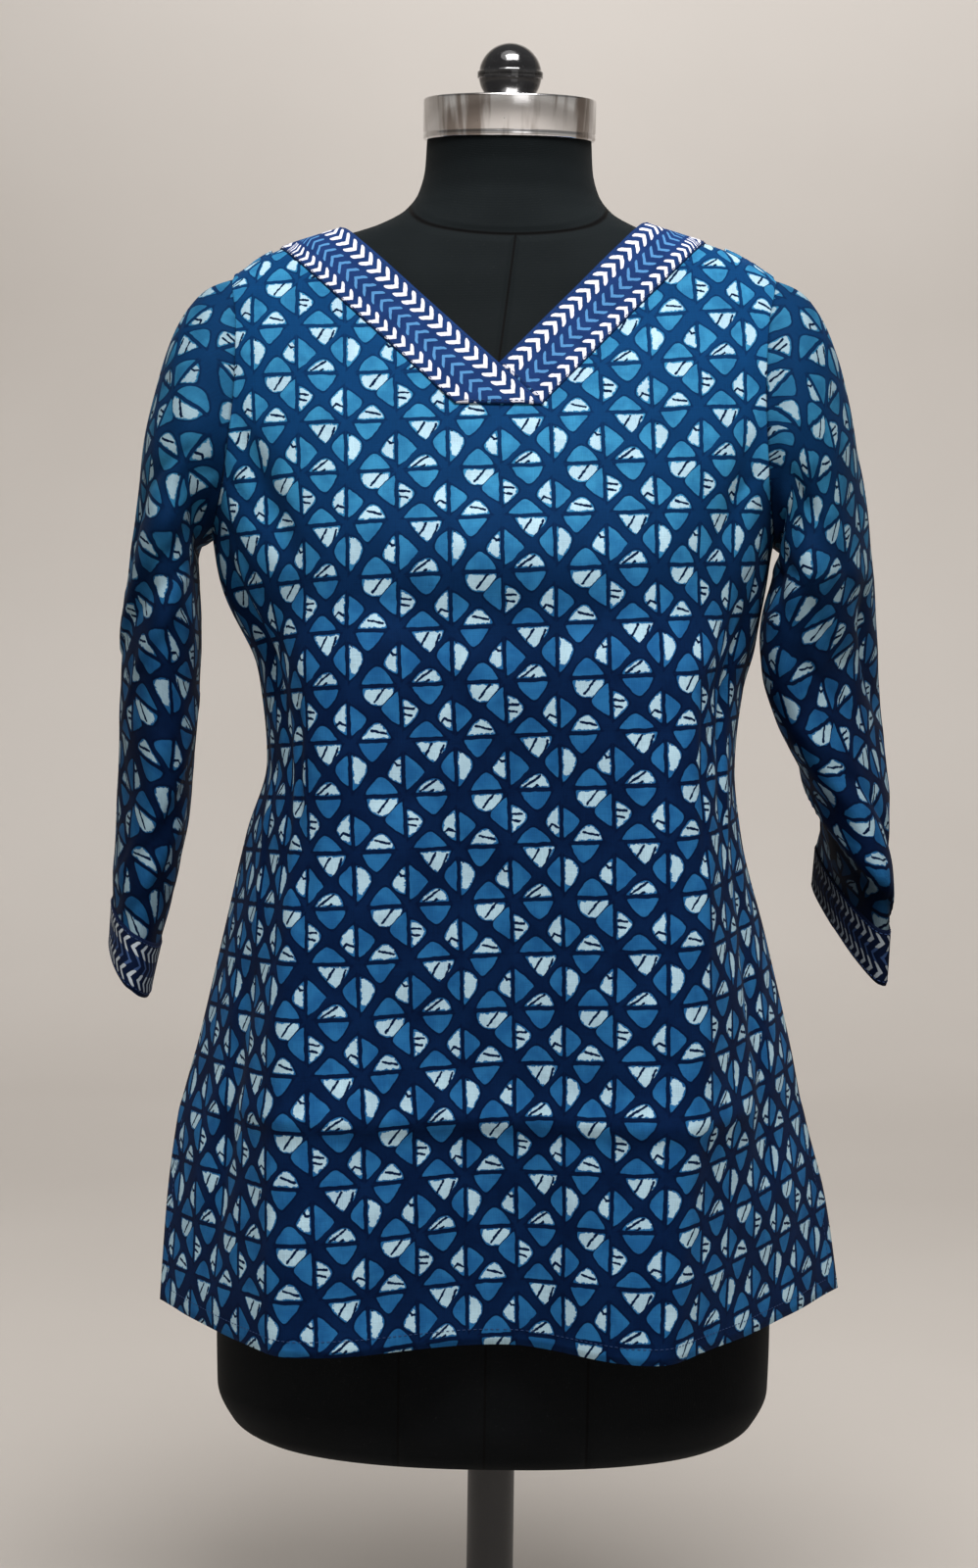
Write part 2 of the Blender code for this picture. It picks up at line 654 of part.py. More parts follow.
def mitred(first, second):
    """The shared edge between two walls that meet at an angle, measured from their inner sides."""
    middle = unit(first + second)
    return middle * WALL / np.maximum((middle * first).sum(axis=-1, keepdims=True), MITRE_LIMIT)


def sleeve_section(side, z, count):
    """A level section of the hanging sleeve, from its inner side round the front edge to its outer side and back."""
    table = SLEEVE[side]
    sign = SIDES[side]
    turn = math.radians(table.at("turn", z))
    ahead = np.array([sign * math.sin(turn), -math.cos(turn)])
    outward = np.array([sign * math.cos(turn), math.sin(turn)])
    centre = np.array([sign * table.at("x", z), table.at("y", z)])
    half_width, half_thickness = table.at("half_width", z), table.at("half_thickness", z)
    fine = np.linspace(0, 2 * math.pi, 241)
    path = []
    for angle in fine:
        c, s = -math.cos(angle), math.sin(angle)
        out = math.copysign(abs(c) ** (2 / SLEEVE_FLATNESS), c) * half_thickness
        fore = math.copysign(abs(s) ** (2 / SLEEVE_EDGE_ROUNDNESS), s) * half_width
        place = centre + outward * out + ahead * fore
        path.append((*place, z - table.at("front_drop", z) * fore / half_width))
    return resampled(path, count + 1)[:-1]


def sleeve_grid(side, start):
    """The inner side of a sleeve as rings of points, from the armhole over the crown and down to the hem."""
    table = SLEEVE[side]
    top_z, hem_z = table.keys[-1], table.keys[0]
    sign = SIDES[side]
    count = len(start)
    first = sleeve_section(side, top_z, count)
    underarm, crown = start[:, 2].min(), start[:, 2].max()
    rings = []
    for t in np.linspace(0, 1, CROWN_ROWS + 1):
        ring = []
        for a, b in zip(start, first):
            high = smoothstep(underarm, crown, a[2])
            reach = UNDERARM_OUT + (CROWN_OUT - UNDERARM_OUT) * high
            out = a + np.array([sign * reach, a[1] * CROWN_SPREAD, -0.3 * reach])
            hang = b + np.array([-sign * CROWN_LEAN * high, 0, UNDERARM_HANG + (CROWN_HANG - UNDERARM_HANG) * high])
            ring.append((1 - t) ** 3 * a + 3 * t * (1 - t) ** 2 * out + 3 * t * t * (1 - t) * hang + t**3 * b)
        rings.append(ring)
    arm_rows = SLEEVE_ROWS - CROWN_ROWS - CUFF_ROWS
    heights = np.concatenate([
        np.linspace(top_z, hem_z + CUFF_DEPTH, arm_rows + 1)[1:],
        np.linspace(hem_z + CUFF_DEPTH, hem_z, CUFF_ROWS + 1)[1:],
    ])
    return np.array(rings + [sleeve_section(side, z, count) for z in heights])


def join_sleeve(side, front, back):
    """The inner and outer grids of a sleeve with its folds. The panels' outer edges and its own are mitred."""
    armhole = armhole_ring(front[side][0], back[side][0])
    grid = sleeve_grid(side, armhole)
    outward = unit((grid - grid.mean(axis=1, keepdims=True)) * np.array([1, 1, 0]))
    for j, ring in enumerate(grid):
        for i, angle in enumerate(np.linspace(0, 360, len(ring), endpoint=False)):
            ring[i] += outward[j][i] * fold_depth(SLEEVE_FOLDS[side], ring[i][2], angle)
    grid[0] = armhole
    directions = grid_normals(grid, closed=True)
    edge = mitred(armhole_ring(front[side][2], back[side][2]), directions[0])
    edge[[0, CHEST_ROWS - 1], 1] = 0
    front[side][1][SKIRT_ROWS:, -1] = front[side][0][SKIRT_ROWS:, -1] + edge[:CHEST_ROWS]
    behind = np.concatenate([edge[:1], edge[:CHEST_ROWS - 2:-1]])
    back[side][1][SKIRT_ROWS:, -1] = back[side][0][SKIRT_ROWS:, -1] + behind
    along = np.array([SIDES[side], 0, 0]) - unit(edge) * (unit(edge)[:, :1] * SIDES[side])
    outer = grid + directions * WALL
    grid[0] = armhole + unit(along) * SEAM_GAP
    outer[0] = grid[0] + edge
    return grid, outer, directions


def build_sleeve(side, layers):
    return wall_object("sleeve_" + side, [layers[:2]], "printed_cotton", closed=True)


def build_cuff(side, layers):
    """The cuff lies round the end of the sleeve: its points are the sleeve's outer points, moved out."""
    inner, outer, directions = (grid[-CUFF_ROWS - 1:] for grid in layers)
    under = outer + directions * LAYER_GAP
    over = outer + directions * (LAYER_GAP + BAND_WALL)
    return wall_object("cuff_" + side, [(under, over)], "border_cotton", closed=True)


def form_ring(z):
    """A level ring of the form. Near its top the neck leans forward, so its rings tilt."""
    ring = []
    tilt = math.tan(NECK_TILT) * smoothstep(NECK_BASE_Z, NECK_TOP_Z, z)
    power = 2 / FORM.at("squareness", z)
    for angle in np.linspace(0, 2 * math.pi, FORM_POINTS, endpoint=False):
        c, s = math.cos(angle), math.sin(angle)
        x = math.copysign(abs(c) ** power, c) * FORM.at("half_width", z)
        y = math.copysign(abs(s) ** power, s) * FORM.at("back" if s > 0 else "front", z)
        if s < 0:
            y -= bust_depth(x, z, bridged=False) * smoothstep(0, BUST_FADE, -s)
        ring.append((x, y, z + y * tilt))
    return ring


def build_form():
    levels = [z for z in FORM.keys if not HIP_Z < z < CHEST_Z]
    heights = sorted(levels + list(np.linspace(HIP_Z, CHEST_Z, FORM_ROWS)[1:-1]))
    bm = bmesh.new()
    rings = [[bm.verts.new(point) for point in form_ring(z)] for z in heights]
    for low, high in zip(rings, rings[1:]):
        for i in range(FORM_POINTS):
            j = (i + 1) % FORM_POINTS
            bm.faces.new((low[i], low[j], high[j], high[i]))
    bm.faces.new(rings[0][::-1])
    bm.faces.new(rings[-1])
    bmesh.ops.recalc_face_normals(bm, faces=bm.faces)
    mesh = bpy.data.meshes.new("form_torso")
    bm.to_mesh(mesh)
    bm.free()
    return add_object("form_torso", mesh, "form_cloth")


def turned(name, profile, finish, steps=32):
    """A solid of revolution about Z from a profile of (radius, height), from the bottom up; both ends lie on the axis."""
    bm = bmesh.new()
    verts = [bm.verts.new((radius, 0, height)) for radius, height in profile]
    edges = [bm.edges.new(pair) for pair in zip(verts, verts[1:])]
    bmesh.ops.spin(
        bm, geom=verts + edges, cent=(0, 0, 0), axis=(0, 0, 1), angle=2 * math.pi, steps=steps, use_merge=True
    )
    bmesh.ops.remove_doubles(bm, verts=bm.verts, dist=1e-6)
    bmesh.ops.recalc_face_normals(bm, faces=bm.faces)
    mesh = bpy.data.meshes.new(name)
    bm.to_mesh(mesh)
    bm.free()
    obj = add_object(name, mesh, finish)
    mesh.set_sharp_from_angle(angle=math.radians(40))
    return obj


def arc(centre, radius, start, end, steps):
    """Points (radius, height) along an arc, with angles in degrees from the level."""
    return [
        (centre[0] + radius * math.cos(math.radians(a)), centre[1] + radius * math.sin(math.radians(a)))
        for a in np.linspace(start, end, steps)
    ]


def build_cap_and_knob():
    """The chrome collar plate on the neck and the ball that the form is lifted by, both leaning with the neck."""
    edge = 0.0012
    cap = turned(
        "neck_cap",
        [(0, 0)]
        + [(CAP_RADIUS - edge, 0)]
        + arc((CAP_RADIUS - edge, edge), edge, -60, 0, 3)
        + arc((CAP_RADIUS - edge, CAP_HEIGHT - edge), edge, 0, 60, 3)
        + [(CAP_RADIUS - edge, CAP_HEIGHT), (0, CAP_HEIGHT)],
        "chrome",
        steps=36,
    )
    lip_radius, lip_low, lip_high = KNOB_RADIUS + 0.0009, 0.0125, 0.0165
    middle = 0.0145
    foot_angle = -math.degrees(math.asin(middle / KNOB_RADIUS))
    lower = arc((0, middle), KNOB_RADIUS, foot_angle, -8, 5)
    upper = arc((0, middle), KNOB_RADIUS, 7, 80, 6)
    knob = turned(
        "knob",
        [(0, 0)] + lower + [(lip_radius, lip_low + 0.0005), (lip_radius, lip_high - 0.0005)] + upper
        + [(0, middle + KNOB_RADIUS)],
        "black_plastic",
        steps=24,
    )
    lean = bpy.data.objects.new("neck_lean", None)
    bpy.context.scene.collection.objects.link(lean)
    middle_y = (FORM.at("back", NECK_TOP_Z) - FORM.at("front", NECK_TOP_Z)) / 2
    lean.location = (0, middle_y, NECK_TOP_Z + middle_y * math.tan(NECK_TILT))
    lean.rotation_euler = (NECK_TILT, 0, 0)
    for piece, height in ((cap, SEAM_GAP), (knob, SEAM_GAP * 2 + CAP_HEIGHT)):
        piece.parent = lean
        piece.location = (0, 0, height)


def build_stand():
    """A plain round foot with a rounded rim and the post that carries the form."""
    rim = 0.004
    turned(
        "stand_base",
        [(0, 0), (BASE_RADIUS - 0.001, 0), (BASE_RADIUS, 0.001), (BASE_RADIUS, BASE_HEIGHT - rim)]
        + arc((BASE_RADIUS - rim, BASE_HEIGHT - rim), rim, 20, 90, 4)
        + [(0, BASE_HEIGHT)],
        "black_steel",
        steps=44,
    )
    post = turned(
        "stand_post",
        [(0, 0), (POST_RADIUS + 0.010, 0), (POST_RADIUS + 0.010, 0.004), (POST_RADIUS, 0.012)]
        + [(POST_RADIUS, FORM_BOTTOM_Z - BASE_HEIGHT - 0.010), (POST_RADIUS + 0.008, FORM_BOTTOM_Z - BASE_HEIGHT - 0.006)]
        + [(POST_RADIUS + 0.008, FORM_BOTTOM_Z - BASE_HEIGHT - 2 * SEAM_GAP), (0, FORM_BOTTOM_Z - BASE_HEIGHT - 2 * SEAM_GAP)],
        "black_steel",
        steps=28,
    )
    post.location = (0, 0, BASE_HEIGHT + SEAM_GAP)


def main():
    for obj in list(bpy.data.objects):
        bpy.data.objects.remove(obj)
    build_form()
    build_cap_and_knob()
    build_stand()
    front, back = panel_layers("front"), panel_layers("back")
    sleeves = {side: join_sleeve(side, front, back) for side in SIDES}
    build_panel("front", front)
    build_panel("back", back)
    for side in SIDES:
        build_sleeve(side, sleeves[side])
        build_cuff(side, sleeves[side])
        build_band(side, front)


main()
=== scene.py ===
"""Short block-printed cotton top with a V neck and three-quarter sleeves, worn by a limbless dress form.

Metres, +Z up. The front faces -Y and +X is the wearer's left. "left" and "right" are the wearer's.
"""

import math

import bpy
import numpy as np
from mathutils import Matrix, Vector


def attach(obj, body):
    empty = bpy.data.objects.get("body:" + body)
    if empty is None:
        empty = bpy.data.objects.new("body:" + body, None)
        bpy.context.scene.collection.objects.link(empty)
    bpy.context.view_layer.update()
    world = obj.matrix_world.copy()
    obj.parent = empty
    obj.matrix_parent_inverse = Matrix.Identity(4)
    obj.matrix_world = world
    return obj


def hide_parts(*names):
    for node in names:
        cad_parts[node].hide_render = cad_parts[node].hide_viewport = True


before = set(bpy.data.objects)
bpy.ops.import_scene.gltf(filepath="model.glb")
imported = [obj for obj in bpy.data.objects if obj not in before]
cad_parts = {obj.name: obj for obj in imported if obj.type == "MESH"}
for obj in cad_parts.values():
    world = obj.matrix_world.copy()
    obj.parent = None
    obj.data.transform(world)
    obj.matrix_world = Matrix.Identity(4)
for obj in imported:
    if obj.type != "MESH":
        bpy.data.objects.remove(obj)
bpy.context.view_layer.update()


# The foot. A round steel plate on the floor, its rim rolled over, powder coated black with a fine grain.
# The form's whole weight stands on it through the post.
FOOT_RADIUS = 0.160
FOOT_HEIGHT = 0.012
FOOT_RIM = 0.004
FOOT_EDGE = 0.001


class Signal:
    """A number, or a colour, that varies over a surface. Sums on it add nodes to its finish."""

    def __init__(self, finish, socket):
        self.finish = finish
        self.socket = socket

    def maths(self, operation, *values):
        return self.finish.node("ShaderNodeMath", {"operation": operation}, dict(enumerate(values)))

    def __add__(self, other):
        return self.maths("ADD", self, other)

    def __radd__(self, other):
        return self.maths("ADD", other, self)

    def __sub__(self, other):
        return self.maths("SUBTRACT", self, other)

    def __rsub__(self, other):
        return self.maths("SUBTRACT", other, self)

    def __mul__(self, other):
        return self.maths("MULTIPLY", self, other)

    def __rmul__(self, other):
        return self.maths("MULTIPLY", other, self)

    def __truediv__(self, other):
        return self.maths("DIVIDE", self, other)

    def __abs__(self):
        return self.maths("ABSOLUTE", self)

    def least(self, other):
        return self.maths("MINIMUM", self, other)

    def most(self, other):
        return self.maths("MAXIMUM", self, other)

    def above(self, other):
        return self.maths("GREATER_THAN", self, other)

    def whole(self):
        return self.maths("FLOOR", self)

    def sine(self):
        return self.maths("SINE", self)

    def root(self):
        return self.maths("SQRT", self)

    def rise(self, low, high):
        """0 up to low, 1 from high, and smooth between. The other way round where low is the higher."""
        settings = {"interpolation_type": "SMOOTHSTEP"}
        return self.finish.node("ShaderNodeMapRange", settings, {0: self, 1: low, 2: high})


class Finish:
    """A material in the making. Numbers that are the same all over go straight onto its shader."""

    def __init__(self, name, constants):
        self.material = bpy.data.materials.new(name)
        self.material.use_nodes = True
        self.tree = self.material.node_tree
        self.shader = self.tree.nodes["Principled BSDF"]
        for socket, value in constants.items():
            self.shader.inputs[socket].default_value = value

    def node(self, kind, settings=None, sockets=None, output=0):
        """A node with its settings ("stops" are a ramp's steps) and its numbers or signals."""
        made = self.tree.nodes.new(kind)
        for name, value in (settings or {}).items():
            if name == "stops":
                ramp = made.color_ramp
                ramp.interpolation = "CONSTANT"
                while len(ramp.elements) < len(value):
                    ramp.elements.new(1.0)
                for element, (position, colour) in zip(ramp.elements, value):
                    element.position = position
                    element.color = colour
            else:
                setattr(made, name, value)
        for name, value in (sockets or {}).items():
            if isinstance(value, Signal):
                self.tree.links.new(value.socket, made.inputs[name])
            else:
                made.inputs[name].default_value = value
        return Signal(self, made.outputs[output])

    def mix(self, share, first, second):
        """A colour between two, or two colours that vary."""
        first, second = ((*c, 1.0) if isinstance(c, tuple) else c for c in (first, second))
        return self.node("ShaderNodeMix", {"data_type": "RGBA"}, {0: share, 6: first, 7: second}, 2)

    def noise(self, place, scale, detail=2.0, roughness=0.5):
        sockets = {"Vector": place, "Scale": scale, "Detail": detail, "Roughness": roughness}
        return self.node("ShaderNodeTexNoise", {}, sockets)

    def coordinates(self):
        """Where a point is on its piece, in metres."""
        return self.node("ShaderNodeTexCoord", output="Object")

    def noted(self, name):
        """What the mesh keeps for its points under a name."""
        return self.node("ShaderNodeAttribute", {"attribute_name": name}, output="Vector")

    def joined(self, x, y, z=0.0):
        """A place out of three numbers."""
        return self.node("ShaderNodeCombineXYZ", {}, {0: x, 1: y, 2: z})

    def parts(self, vector):
        """The three numbers of a place."""
        split = self.node("ShaderNodeSeparateXYZ", sockets={0: vector})
        return [Signal(self, socket) for socket in split.socket.node.outputs]

    def relief(self, height, depth, strength=1.0, under=None):
        """Bump from a height of 0 to 1 that stands for a depth in metres."""
        sockets = {"Height": height, "Distance": depth, "Strength": strength}
        if under is not None:
            sockets["Normal"] = under
        return self.node("ShaderNodeBump", {}, sockets)

    def paint(self, **signals):
        for name, signal in signals.items():
            self.tree.links.new(signal.socket, self.shader.inputs[name.replace("_", " ")])


def black_steel():
    """Powder coat: a fine orange peel, with patches of dust and lighter scratches where it is rubbed."""
    coat = Finish("black_steel", {"Specular IOR Level": 0.45})
    where = coat.coordinates()
    grain = coat.noise(where, 900.0, 3.0)
    cloud = coat.noise(where, 14.0, 4.0)
    scratches = coat.noise(where, 160.0, 6.0, 0.7).rise(0.66, 0.74)
    dust = cloud.rise(0.45, 0.8)
    colour = coat.mix(dust, (0.010, 0.010, 0.011), (0.028, 0.027, 0.026))
    coat.paint(
        Base_Color=coat.mix(scratches * 0.35, colour, (0.07, 0.07, 0.07)),
        Roughness=0.36 + grain * 0.14 + dust * 0.16,
        Normal=coat.relief(grain, 0.00025, 0.6),
    )
    return coat.material


def smoothed(mesh, sharp=40.0):
    mesh.shade_smooth()
    mesh.set_sharp_from_angle(angle=math.radians(sharp))


def placed(name, points, faces, finishes):
    """A new mesh object from points and faces."""
    mesh = bpy.data.meshes.new(name)
    mesh.from_pydata(np.asarray(points).tolist(), [], [list(face) for face in faces])
    for finish in finishes:
        mesh.materials.append(finish)
    piece = bpy.data.objects.new(name, mesh)
    bpy.context.scene.collection.objects.link(piece)
    return piece


def turned(name, profile, finish, steps=96):
    """A solid turned about Z from (radius, height), from the bottom up. Both ends lie on the axis."""
    profile = np.array(profile)
    angles = np.linspace(0, 2 * math.pi, steps, endpoint=False)
    middle = profile[1:-1]
    across = np.outer(middle[:, 0], np.cos(angles))
    painted_shade_tone = np.outer(middle[:, 0], np.sin(angles))
    rings = np.stack([across, painted_shade_tone, np.repeat(middle[:, 1:], steps, axis=1)], axis=-1).reshape(-1, 3)
    points = rings.tolist() + [[0, 0, profile[0, 1]], [0, 0, profile[-1, 1]]]
    low, high = len(rings), len(rings) + 1
    faces = []
    for i in range(steps):
        j = (i + 1) % steps
        faces.append((j, i, low))
        faces.append(((len(middle) - 1) * steps + i, (len(middle) - 1) * steps + j, high))
        for k in range(len(middle) - 1):
            faces.append((k * steps + i, k * steps + j, (k + 1) * steps + j, (k + 1) * steps + i))
    piece = placed(name, points, faces, [finish])
    smoothed(piece.data)
    return piece


def arc(centre, radius, start, end, steps):
    """Points (radius, height) along an arc, with angles in degrees from the level."""
    angles = np.radians(np.linspace(start, end, steps))
    return [(centre[0] + radius * math.cos(a), centre[1] + radius * math.sin(a)) for a in angles]


steel = black_steel()
foot = turned(
    "foot_plate",
    [(0, 0), (FOOT_RADIUS - FOOT_EDGE, 0)]
    + arc((FOOT_RADIUS - FOOT_EDGE, FOOT_EDGE), FOOT_EDGE, -90, 0, 5)
    + arc((FOOT_RADIUS - FOOT_RIM, FOOT_HEIGHT - FOOT_RIM), FOOT_RIM, 0, 90, 9)
    + [(0.040, FOOT_HEIGHT), (0.038, FOOT_HEIGHT - 0.0004), (0.036, FOOT_HEIGHT), (0, FOOT_HEIGHT)],
    steel,
)
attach(foot, "root")
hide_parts("stand_base")


# The post. A steel tube in the same black coat, in a flared socket that is screwed to the foot, with a collar
# under the form. Two hidden screws hold each end.
POST_RADIUS = 0.0147
POST_LOW = FOOT_HEIGHT + 0.0003
POST_HIGH = 0.2517

post = turned(
    "post_tube",
    [(0, POST_LOW), (POST_RADIUS + 0.0100, POST_LOW)]
    + arc((POST_RADIUS + 0.0088, POST_LOW + 0.0028), 0.0012, 0, 80, 4)
    + arc((POST_RADIUS + 0.0078, POST_LOW + 0.0120), 0.0078, 255, 180, 7)
    + [(POST_RADIUS, POST_LOW + 0.1000), (POST_RADIUS + 0.0006, POST_LOW + 0.1006),
       (POST_RADIUS + 0.0006, POST_LOW + 0.1040), (POST_RADIUS, POST_LOW + 0.1046)]
    + [(POST_RADIUS, POST_HIGH - 0.0100), (POST_RADIUS + 0.0074, POST_HIGH - 0.0064),
       (POST_RADIUS + 0.0080, POST_HIGH - 0.0056), (POST_RADIUS + 0.0080, POST_HIGH), (0, POST_HIGH)],
    steel,
    steps=72,
)
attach(post, "root")
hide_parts("stand_post")


# The dress form. A padded shell in a tight black jersey cover, sewn from panels with a seam down the middle
# of the front and back, one over each bust and one round the root of the neck.
FORM_COLUMNS = ("height", "half_width", "front", "back", "squareness")
BUST_HEIGHT = 0.785
BUST_APART = 0.076
BUST_DEPTH = 0.013
BUST_SPREAD_X = 0.050
BUST_SPREAD_Z = 0.052
BUST_FADE = 0.35
NECK_BASE_Z = 1.030
NECK_TOP_Z = 1.068
NECK_TILT = math.radians(9.0)
FORM_AROUND = 240
FORM_LEVELS = 300
NECK_SEAM_Z = 0.9987
NECK_SEAM_Y = 0.058
NECK_SEAM_RISE = 0.040
NECK_SEAM_BEND = 0.045
MIDDLE_SEAM_X = -0.0047
MIDDLE_SEAM_LEAN = 0.115
MIDDLE_SEAM_LEANS_Z = 0.92
BUST_SEAM_TOP_Z = 0.96
RIM_Z = 0.290
SHOULDER_LOW_Z = 0.965
SHOULDER_HIGH_Z = 1.03


class Table:
    """Rows with named columns, read smoothly at any values of the first column."""

    def __init__(self, columns, rows):
        rows = np.array(sorted(rows))
        self.keys = rows[:, 0]
        self.columns = dict(zip(columns, rows.T))

    def at(self, name, keys):
        """Cubic between the rows, with slopes limited so that it never overshoots them."""
        x, y = self.keys, self.columns[name]
        steps = np.diff(y) / np.diff(x)
        slopes = np.zeros(len(x))
        same_way = steps[1:] * steps[:-1] > 0
        slopes[1:-1][same_way] = 2 / (1 / steps[1:][same_way] + 1 / steps[:-1][same_way])
        slopes[0], slopes[-1] = steps[0], steps[-1]
        keys = np.clip(np.asarray(keys, float), x[0], x[-1])
        i = np.clip(np.searchsorted(x, keys) - 1, 0, len(x) - 2)
        span = x[i + 1] - x[i]
        t = (keys - x[i]) / span
        return (
            (2 * t**3 - 3 * t**2 + 1) * y[i]
            + (t**3 - 2 * t**2 + t) * span * slopes[i]
            + (3 * t**2 - 2 * t**3) * y[i + 1]
            + (t**3 - t**2) * span * slopes[i + 1]
        )


FORM = Table(
    FORM_COLUMNS,
    [
        (0.252, 0.132, 0.068, 0.076, 2.3),
        (0.256, 0.150, 0.084, 0.092, 2.3),
        (0.266, 0.164, 0.095, 0.102, 2.3),
        (0.286, 0.173, 0.101, 0.109, 2.3),
        (0.330, 0.174, 0.103, 0.111, 2.3),
        (0.420, 0.171, 0.100, 0.112, 2.3),
        (0.500, 0.158, 0.095, 0.104, 2.3),
        (0.570, 0.137, 0.088, 0.088, 2.3),
        (0.635, 0.123, 0.085, 0.078, 2.3),
        (0.700, 0.129, 0.094, 0.082, 2.3),
        (0.760, 0.143, 0.110, 0.093, 2.3),
        (0.800, 0.151, 0.115, 0.099, 2.3),
        (0.850, 0.160, 0.109, 0.103, 2.3),
        (0.900, 0.173, 0.093, 0.100, 2.4),
        (0.930, 0.181, 0.081, 0.093, 2.4),
        (0.955, 0.182, 0.071, 0.083, 2.3),
        (0.972, 0.172, 0.066, 0.076, 2.2),
        (0.984, 0.158, 0.062, 0.071, 2.1),
        (0.994, 0.139, 0.059, 0.068, 2.0),
        (1.003, 0.112, 0.056, 0.065, 2.0),
        (1.012, 0.084, 0.054, 0.062, 2.0),
        (1.022, 0.066, 0.052, 0.059, 2.0),
        (1.034, 0.057, 0.050, 0.057, 2.0),
        (1.050, 0.053, 0.050, 0.055, 2.0),
        (1.068, 0.052, 0.052, 0.053, 2.0),
    ],
)


def smoothstep(low, high, value):
    t = np.clip((np.asarray(value, float) - low) / (high - low), 0, 1)
    return t * t * (3 - 2 * t)


def bust_depth(x, z, bridged):
    """How far the bust stands in front of the plain oval. Cloth bridges straight across it."""
    off = np.abs(x) - BUST_APART
    if bridged:
        off = np.maximum(0.0, off)
    return BUST_DEPTH * np.exp(-((off / BUST_SPREAD_X) ** 2) - ((z - BUST_HEIGHT) / BUST_SPREAD_Z) ** 2)


def unit(vectors):
    return vectors / np.maximum(np.linalg.norm(vectors, axis=-1, keepdims=True), 1e-9)


def form_points():
    """The cover's surface as rings of points, and how far each is from the middle, bust and neck seams."""
    share = np.linspace(0, 1, FORM_LEVELS)
    low, high = FORM.keys[0], FORM.keys[-1]
    levels = low + (high - low) * share
    at_rim = np.linspace(low, RIM_Z, 30)[1:-1]
    at_shoulders = np.linspace(SHOULDER_LOW_Z, SHOULDER_HIGH_Z, 40)[1:-1]
    levels = np.sort(np.concatenate([levels, at_rim, at_shoulders]))
    angles = np.linspace(0, 2 * math.pi, FORM_AROUND, endpoint=False)
    z, angle = np.meshgrid(levels, angles, indexing="ij")
    c, s = np.cos(angle), np.sin(angle)
    power = 2 / FORM.at("squareness", z)
    x = np.sign(c) * np.abs(c) ** power * FORM.at("half_width", z)
    depth = np.where(s > 0, FORM.at("back", z), FORM.at("front", z))
    y = np.sign(s) * np.abs(s) ** power * depth
    y = np.where(s < 0, y - bust_depth(x, z, False) * smoothstep(0, BUST_FADE, -s), y)
    tilt = math.tan(NECK_TILT) * smoothstep(NECK_BASE_Z, NECK_TOP_Z, z)
    points = np.stack([x, y, z + y * tilt], axis=-1)
    lean = MIDDLE_SEAM_LEAN * np.maximum(0, z - MIDDLE_SEAM_LEANS_Z)
    front_seam = np.where(y < 0, x - MIDDLE_SEAM_X - lean, x)
    bust_line = BUST_APART + 0.018 * smoothstep(0.80, 0.97, z) - 0.020 * smoothstep(0.74, 0.62, z)
    bust_seam = np.where((y < 0) & (z < BUST_SEAM_TOP_Z), np.abs(x) - bust_line, 1.0)
    neck_seam = z - NECK_SEAM_Z - NECK_SEAM_RISE * (1 - np.exp(-(y + NECK_SEAM_Y) / NECK_SEAM_BEND))
    return points, np.stack([front_seam, bust_seam, neck_seam], axis=-1)


def outward_normals(grid, closed):
    """Unit normals of a grid of points, turned away from the middle of the piece."""
    wide = np.concatenate([grid[:, -1:], grid, grid[:, :1]], axis=1) if closed else grid
    across = np.gradient(wide, axis=1)
    if closed:
        across = across[:, 1:-1]
    normals = unit(np.cross(across, np.gradient(grid, axis=0)))
    away = grid - grid.mean(axis=1, keepdims=True) if closed else grid * np.array([1, 1, 0])
    return normals if (normals * away).sum() > 0 else -normals


def grid_faces(rows, columns, closed=False, start=0):
    """Faces between the points of a grid, row after row from the number start."""
    numbers = start + np.arange(rows * columns).reshape(rows, columns)
    after = np.roll(numbers, -1, axis=1) if closed else numbers[:, 1:]
    here = numbers if closed else numbers[:, :-1]
    return np.stack([here[:-1], after[:-1], after[1:], here[1:]], axis=-1).reshape(-1, 4)


def note(mesh, name, values):
    """Keeps a number, or a place, for every point of a mesh, for its finish to read."""
    values = np.asarray(values, float)
    if values.ndim == 1:
        mesh.attributes.new(name, "FLOAT", "POINT").data.foreach_set("value", values)
    else:
        mesh.attributes.new(name, "FLOAT_VECTOR", "POINT").data.foreach_set("vector", values.reshape(-1))


